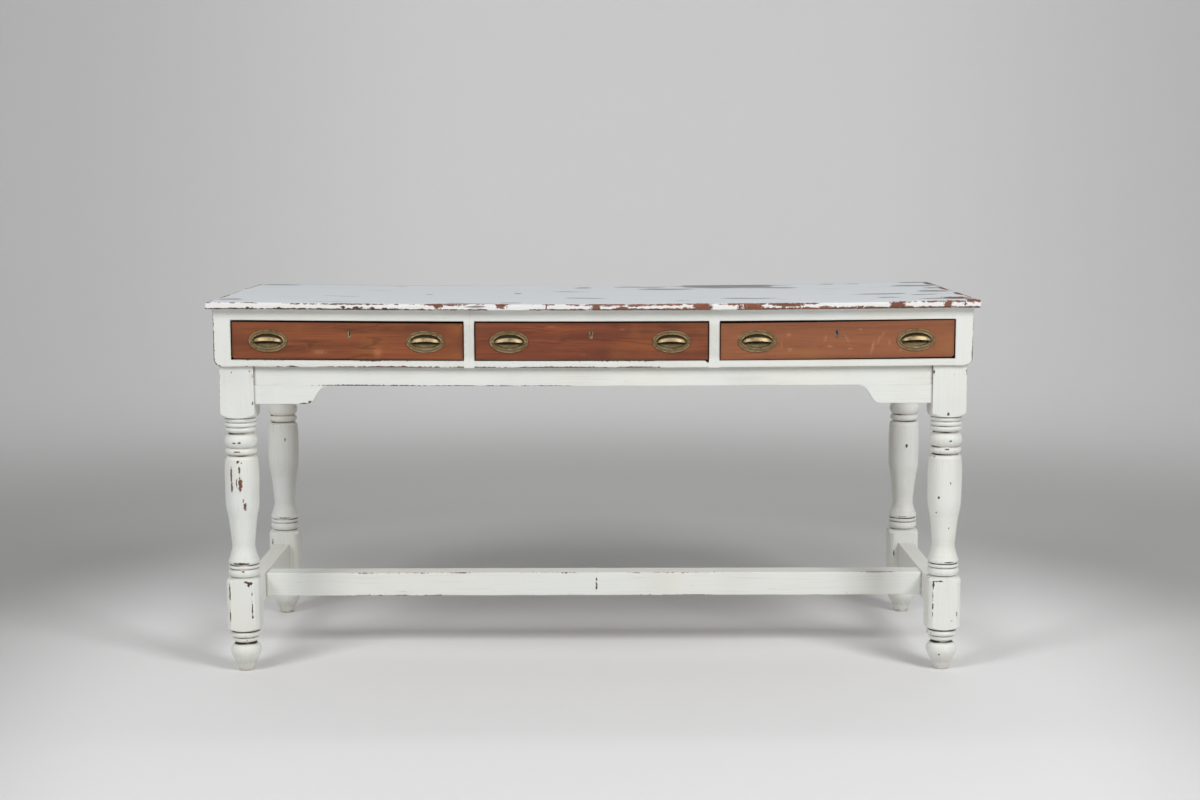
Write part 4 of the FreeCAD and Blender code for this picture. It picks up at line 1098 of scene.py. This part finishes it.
def softened(node, material, width=0.0006, segments=2, cuts=0.06, values=None, pick=None, shape=None, rows=()):
    """A CAD node with eased edges, let down with the case; rows are extra cuts at heights above its foot."""
    mesh = clean_copy(node)
    edges = [e for e in mesh.edges if len(e.link_faces) == 2 and e.calc_face_angle() > math.radians(40)
             and (pick is None or pick(e))]
    bmesh.ops.bevel(mesh, geom=edges, offset=width, segments=segments, affect="EDGES", profile=0.6,
                    clamp_overlap=True)
    low, high = span(node)
    planes = [((x, 0, 0), (1, 0, 0)) for x in np.arange(low[0] + cuts, high[0], cuts)]
    planes += [((0, 0, low[2] + row), (0, 0, 1)) for row in rows]
    for place, direction in planes:
        bmesh.ops.bisect_plane(mesh, geom=mesh.verts[:] + mesh.edges[:] + mesh.faces[:],
                               plane_co=place, plane_no=direction, dist=1e-7)
    data = bpy.data.meshes.new(node + "_look")
    mesh.to_mesh(data)
    mesh.free()
    data.shade_smooth()
    data.set_sharp_from_angle(angle=SHARP)
    obj = stand(node + "_look", data)
    points = coordinates(obj)
    for key, function in (values or {}).items():
        set_values(obj, key, function(points))
    place_points(obj, settle(points if shape is None else shape(points)))
    return adopt(obj, node, material)


for node in ("drawer_runners", "drawer_kickers"):
    softened(node, INNER_Y)
softened("drawer_stops", INNER_X)
softened("case_screws", STEEL, width=0.0002, segments=1, values={"grime_and_shade": lambda p: np.full(len(p), 0.4)})


# --- drawers
# pale scuffs on the drawer fronts: X, Z and half sizes in millimetres, lean to the right per unit of height
SCUFFS = {
    "left": [
        (-452, 694, 8, 11, 0.1), (-601.7, 704.7, 1, 7, 0), (-575, 695, 16, 5, 0), (-275, 755, 6, 1.2, 0),
    ],
    "middle": [
        (-90, 751, 10, 1.6, 0), (-20, 690, 6, 1, 0), (60, 745, 5, 0.8, 0),
    ],
    "right": [
        (409.6, 732.3, 3.4, 3.4, 0), (395, 709.5, 1.2, 8, 0), (412.3, 699.7, 4.2, 3, 0), (486.8, 722.6, 1.8, 6, 0.3),
        (532, 722, 1.4, 7, -0.6), (586.5, 703.4, 2.2, 13, 0.25), (599, 718, 1.6, 7, 0.4), (622, 711.6, 1.6, 5, 0),
        (495, 706, 6, 1.6, 0.2), (540, 700, 5, 1.4, -0.3), (305, 730, 1.4, 4, 0.5), (608, 730, 1.2, 5, 0.5),
        (645, 696, 1.4, 4, 0.5), (560, 742, 3, 1, 0),
    ],
}
# how far each front's edges stand back from its opening, in millimetres: top left, top right, foot left, foot right
HANG = {"left": (1.6, 2.6, 1.2, 0.8), "middle": (1.0, 1.4, 0.6, 0.6), "right": (3.2, 0.0, 0.0, 2.4)}


def hang(name):
    """Worn, slightly crooked fit of a drawer front in its opening."""
    low, high = span("drawer_" + name + "_front")
    top_left, top_right, foot_left, foot_right = (amount * MM for amount in HANG[name])

    def bend(points):
        across = (points[:, 0] - low[0]) / (high[0] - low[0])
        up = (points[:, 2] - low[2]) / (high[2] - low[2])
        drop = (top_left + (top_right - top_left) * across) * up
        rise = (foot_left + (foot_right - foot_left) * across) * (1 - up)
        out = points.copy()
        out[:, 2] += rise - drop
        out[:, 0] += 0.7 * MM * (1 - 2 * across)
        return out

    return bend


def drawer_front(name):
    node = "drawer_" + name + "_front"
    low, high = span(node)

    def rim(points):
        sides = [points[:, 0] - low[0], high[0] - points[:, 0], points[:, 2] - low[2], high[2] - points[:, 2]]
        return 0.8 * np.exp(-np.min(sides, axis=0) / 0.0022)

    def marks(points):
        value = np.zeros(len(points))
        for *place, lean in SCUFFS[name]:
            x, z, half_x, half_z = np.array(place) * MM
            across = (points[:, 0] - x - lean * (points[:, 2] - z)) / half_x
            value = np.maximum(value, np.exp(-across ** 2 - ((points[:, 2] - z) / half_z) ** 2))
        return value * (points[:, 1] < low[1] + 0.001)

    def outer(edge):
        return all(v.co.y < low[1] + 1e-4 for v in edge.verts)

    def on_face(edge):
        key = all(abs(v.co.x - (low[0] + high[0]) / 2) < 0.03 and v.co.z > 0.715 for v in edge.verts)
        return outer(edge) and not key

    return softened(node, MAHOGANY[name], 0.0016, 3, cuts=0.0025, pick=on_face, shape=hang(name),
                    rows=np.arange(3, 79, 3) * MM,
                    values={"grime_and_shade": rim, "mark": marks})


def oval_profile():
    """(inward distance, height) of the pull's plate from its outer edge to its dish, in millimetres."""
    return [(0.0, 0.0), (0.0, 1.0), (0.3, 1.9), (1.0, 2.5), (1.9, 2.5), (2.6, 1.9), (3.0, 1.3), (4.2, 1.2),
            (5.6, 1.4), (6.2, 2.0), (6.8, 3.0), (7.6, 3.5), (8.4, 3.2), (9.2, 2.2), (10.0, 1.5), (11.5, 1.0)]


OVAL_TURNS = 72
DISH_STEPS = (0.9, 0.8, 0.7, 0.6, 0.5, 0.4, 0.3, 0.2, 0.1)
HOOD_HALF, HOOD_RISE, HOOD_DEPTH, HOOD_WALL = 31.0, 14.6, 14.4, 1.3     # millimetres, like the profile


def pull(name, side):
    """Oval cup pull: beaded double-rimmed plate, dished in the middle, with a hood over its upper half."""
    node = "drawer_" + name + "_pull_" + side
    low, high = span(node)
    half_w, half_h = (high[0] - low[0]) / 2 / MM, (high[2] - low[2]) / 2 / MM
    centre = np.array([(low[0] + high[0]) / 2, high[1], (low[2] + high[2]) / 2])
    angle = np.linspace(0, 2 * math.pi, OVAL_TURNS, endpoint=False)
    rings, grime_and_shade = [], []
    for inward, height in oval_profile():
        bead = 0.18 * np.cos(angle * 36) if 0.2 < inward < 2.5 else 0
        rings.append(np.stack([(half_w - inward) * np.cos(angle), -height - bead + 0 * angle,
                               (half_h - inward) * np.sin(angle)], axis=1))
        grime_and_shade.append(np.full(OVAL_TURNS, np.clip((2.2 - height) / 2.0, 0, 0.75)))
    inward = oval_profile()[-1][0]
    for scale in DISH_STEPS:
        ring_z = (half_h - inward) * scale * np.sin(angle)
        rings.append(np.stack([(half_w - inward) * scale * np.cos(angle), np.full(OVAL_TURNS, -0.35 - 0.6 * scale),
                               ring_z], axis=1))
        # painted shadow of the hood's lip: the dish is darker towards its top, under the hood
        grime_and_shade.append(0.25 + 0.60 * smoothstep(-9.0, -2.5, ring_z))
    rings.append(np.stack([0.02 * np.cos(angle), np.full(OVAL_TURNS, -0.35), 0.02 * np.sin(angle)], axis=1))
    grime_and_shade.append(np.full(OVAL_TURNS, 1.0))
    plate = np.concatenate(rings)
    hood, hood_faces, hood_tarnish_and_shade = hood_shell(len(plate))
    points = np.concatenate([plate, hood]) * MM + centre
    obj = make_object(node + "_look", points, ring_faces(len(rings), OVAL_TURNS) + hood_faces,
                      {"grime_and_shade": np.concatenate(grime_and_shade + [hood_tarnish_and_shade])})
    return adopt(sunk(obj), node, BRASS)


def hood_shell(first):
    """Closed thin hood, outer and inner skins joined at the lip; returns points, faces and darkening: tarnish with
    painted shade.

    Its points are numbered from first."""
    across, round_ = 41, 15
    a = np.linspace(math.radians(3), math.radians(177), across)
    b = np.linspace(0, math.pi / 2, round_)
    skins, darkening = [], []
    for wall in (0.0, HOOD_WALL):
        s = np.sin(a)[:, None]
        lip = 1.6 * s ** 2 - 2.2 * (1 - s ** 2)
        curl = 0.9 * np.clip((b / (math.pi / 2) - 0.82) / 0.18, 0, 1)[None, :] ** 2
        x = (HOOD_HALF - wall) * np.cos(a)[:, None] + 0 * b[None, :]
        z = lip + ((HOOD_RISE - wall) * s - lip) * np.cos(b)[None, :]
        y = -(0.6 + (HOOD_DEPTH - wall) * s ** 0.8 * np.sin(b)[None, :] + curl * s)
        skins.append(np.stack([x, y, z], axis=-1).reshape(-1, 3))
        # tarnish and painted shade: the outer skin darker up by the plate and clean along the lip; the inner skin,
        # facing the dish, dark all over
        shade = 0.80 - 0.85 * smoothstep(0.70, 0.96, np.sin(b))[None, :] + 0 * s
        worn = np.clip(shade, 0, 1) if wall == 0 else np.full(x.shape, 1.0)
        darkening.append(worn.reshape(-1))
    index = np.arange(across * round_).reshape(across, round_) + first
    inner = index + across * round_
    quad = np.stack([index[:-1, :-1], index[:-1, 1:], index[1:, 1:], index[1:, :-1]], axis=-1).reshape(-1, 4)
    faces = quad[:, ::-1].tolist() + (quad + across * round_).tolist()
    for line, other in ((index[:, -1], inner[:, -1]), (index[::-1, 0], inner[::-1, 0]),
                        (index[0, :], inner[0, :]), (index[-1, ::-1], inner[-1, ::-1])):
        faces += [[line[k + 1], line[k], other[k], other[k + 1]] for k in range(len(line) - 1)]
    return np.concatenate(skins), faces, np.concatenate(darkening)


def flat_grime(amount):
    return {"grime_and_shade": lambda points: np.full(len(points), amount)}


for name in DRAWERS:
    drawer_front(name)
    prefix = "drawer_" + name + "_"
    for part in ("side_left", "side_right"):
        softened(prefix + part, LINING_Y, cuts=1.0)
    softened(prefix + "back", LINING_X)
    softened(prefix + "bottom", LINING_X)
    softened(prefix + "escutcheon", PALE_METAL if name == "right" else BRASS, 0.0003, values=flat_grime(0.3))
    softened(prefix + "lock_case", STEEL, 0.0004, values=flat_grime(0.8), shape=hang(name))
    softened(prefix + "lock_bolt", STEEL, 0.0005, values=flat_grime(0.15), shape=hang(name))
    softened(prefix + "pull_screws", BRASS, 0.0002, segments=1, values=flat_grime(0.3))
    for side in SIDES:
        pull(name, side)


# --- studio
def studio():
    """Seamless pale bowl round the table: flat floor, wide curve, upright wall."""
    floor_radius, curve, height, turns = 3.5, 2.0, 7.0, 96
    outline = [(0.0, 0.0), (1.2, 0.0), (2.4, 0.0)]
    outline += [(floor_radius + curve * math.sin(t), curve - curve * math.cos(t))
                for t in np.linspace(0, math.pi / 2, 13)]
    outline += [(floor_radius + curve, height)]
    points = []
    for radius, z in outline:
        radius = max(radius, 0.001)
        points += [(radius * math.cos(2 * math.pi * k / turns), radius * math.sin(2 * math.pi * k / turns), z)
                   for k in range(turns)]
    bowl = make_object("studio_floor", points, ring_faces(len(outline), turns)[:-1])    # open at the top
    bowl.data.flip_normals()
    bowl.data.materials.append(studio_paper())


def soft_box(name, place, target, size, power):
    data = bpy.data.lights.new(name, "AREA")
    data.shape = "RECTANGLE"
    data.size, data.size_y = size
    data.energy = power
    obj = stand(name, data)
    obj.location = place
    obj.rotation_euler = (Vector(target) - Vector(place)).to_track_quat("-Z", "Y").to_euler()
    obj.visible_camera = False


CAMERA_PLACE = (0.0045, -4.1355, 1.069)
CAMERA_TURN = (7.09, 0.14, 0.087)      # degrees down, to the right and clockwise
LENS_MM = 55.17


def camera():
    """The photograph's viewing angle: almost square to the front, a little above the top."""
    pitch, yaw, roll = np.radians(CAMERA_TURN)
    forward = Vector((math.sin(yaw) * math.cos(pitch), math.cos(yaw) * math.cos(pitch), -math.sin(pitch)))
    right = Vector((math.cos(yaw), -math.sin(yaw), 0))
    up = right.cross(forward)
    right, up = right * math.cos(roll) - up * math.sin(roll), right * math.sin(roll) + up * math.cos(roll)
    data = bpy.data.cameras.new("view")
    data.sensor_width = 36
    data.lens = LENS_MM
    data.clip_end = 60
    obj = stand("view", data)
    turn = Matrix((right, up, -forward)).transposed().to_4x4()
    obj.matrix_world = Matrix.Translation(CAMERA_PLACE) @ turn
    bpy.context.scene.camera = obj


def world(strength):
    surroundings = bpy.data.worlds.new("studio")
    surroundings.use_nodes = True
    background = surroundings.node_tree.nodes["Background"]
    background.inputs["Color"].default_value = (1, 1, 1, 1)
    background.inputs["Strength"].default_value = strength
    bpy.context.scene.world = surroundings


studio()
KEY_PLACE, KEY_AIM, KEY_SIZE = (2.9, -3.3, 3.55), (0, 0, 0.3), (1.4, 2.4)
soft_box("key_left", (-KEY_PLACE[0], *KEY_PLACE[1:]), KEY_AIM, KEY_SIZE, 106)
soft_box("key_right", KEY_PLACE, KEY_AIM, KEY_SIZE, 146)
soft_box("backdrop_wash", (0, 2.2, 5.2), (0, 5.6, 1.2), (6.0, 1.5), 80)
world(0.18)
camera()
bpy.context.scene.view_settings.view_transform = "Standard"
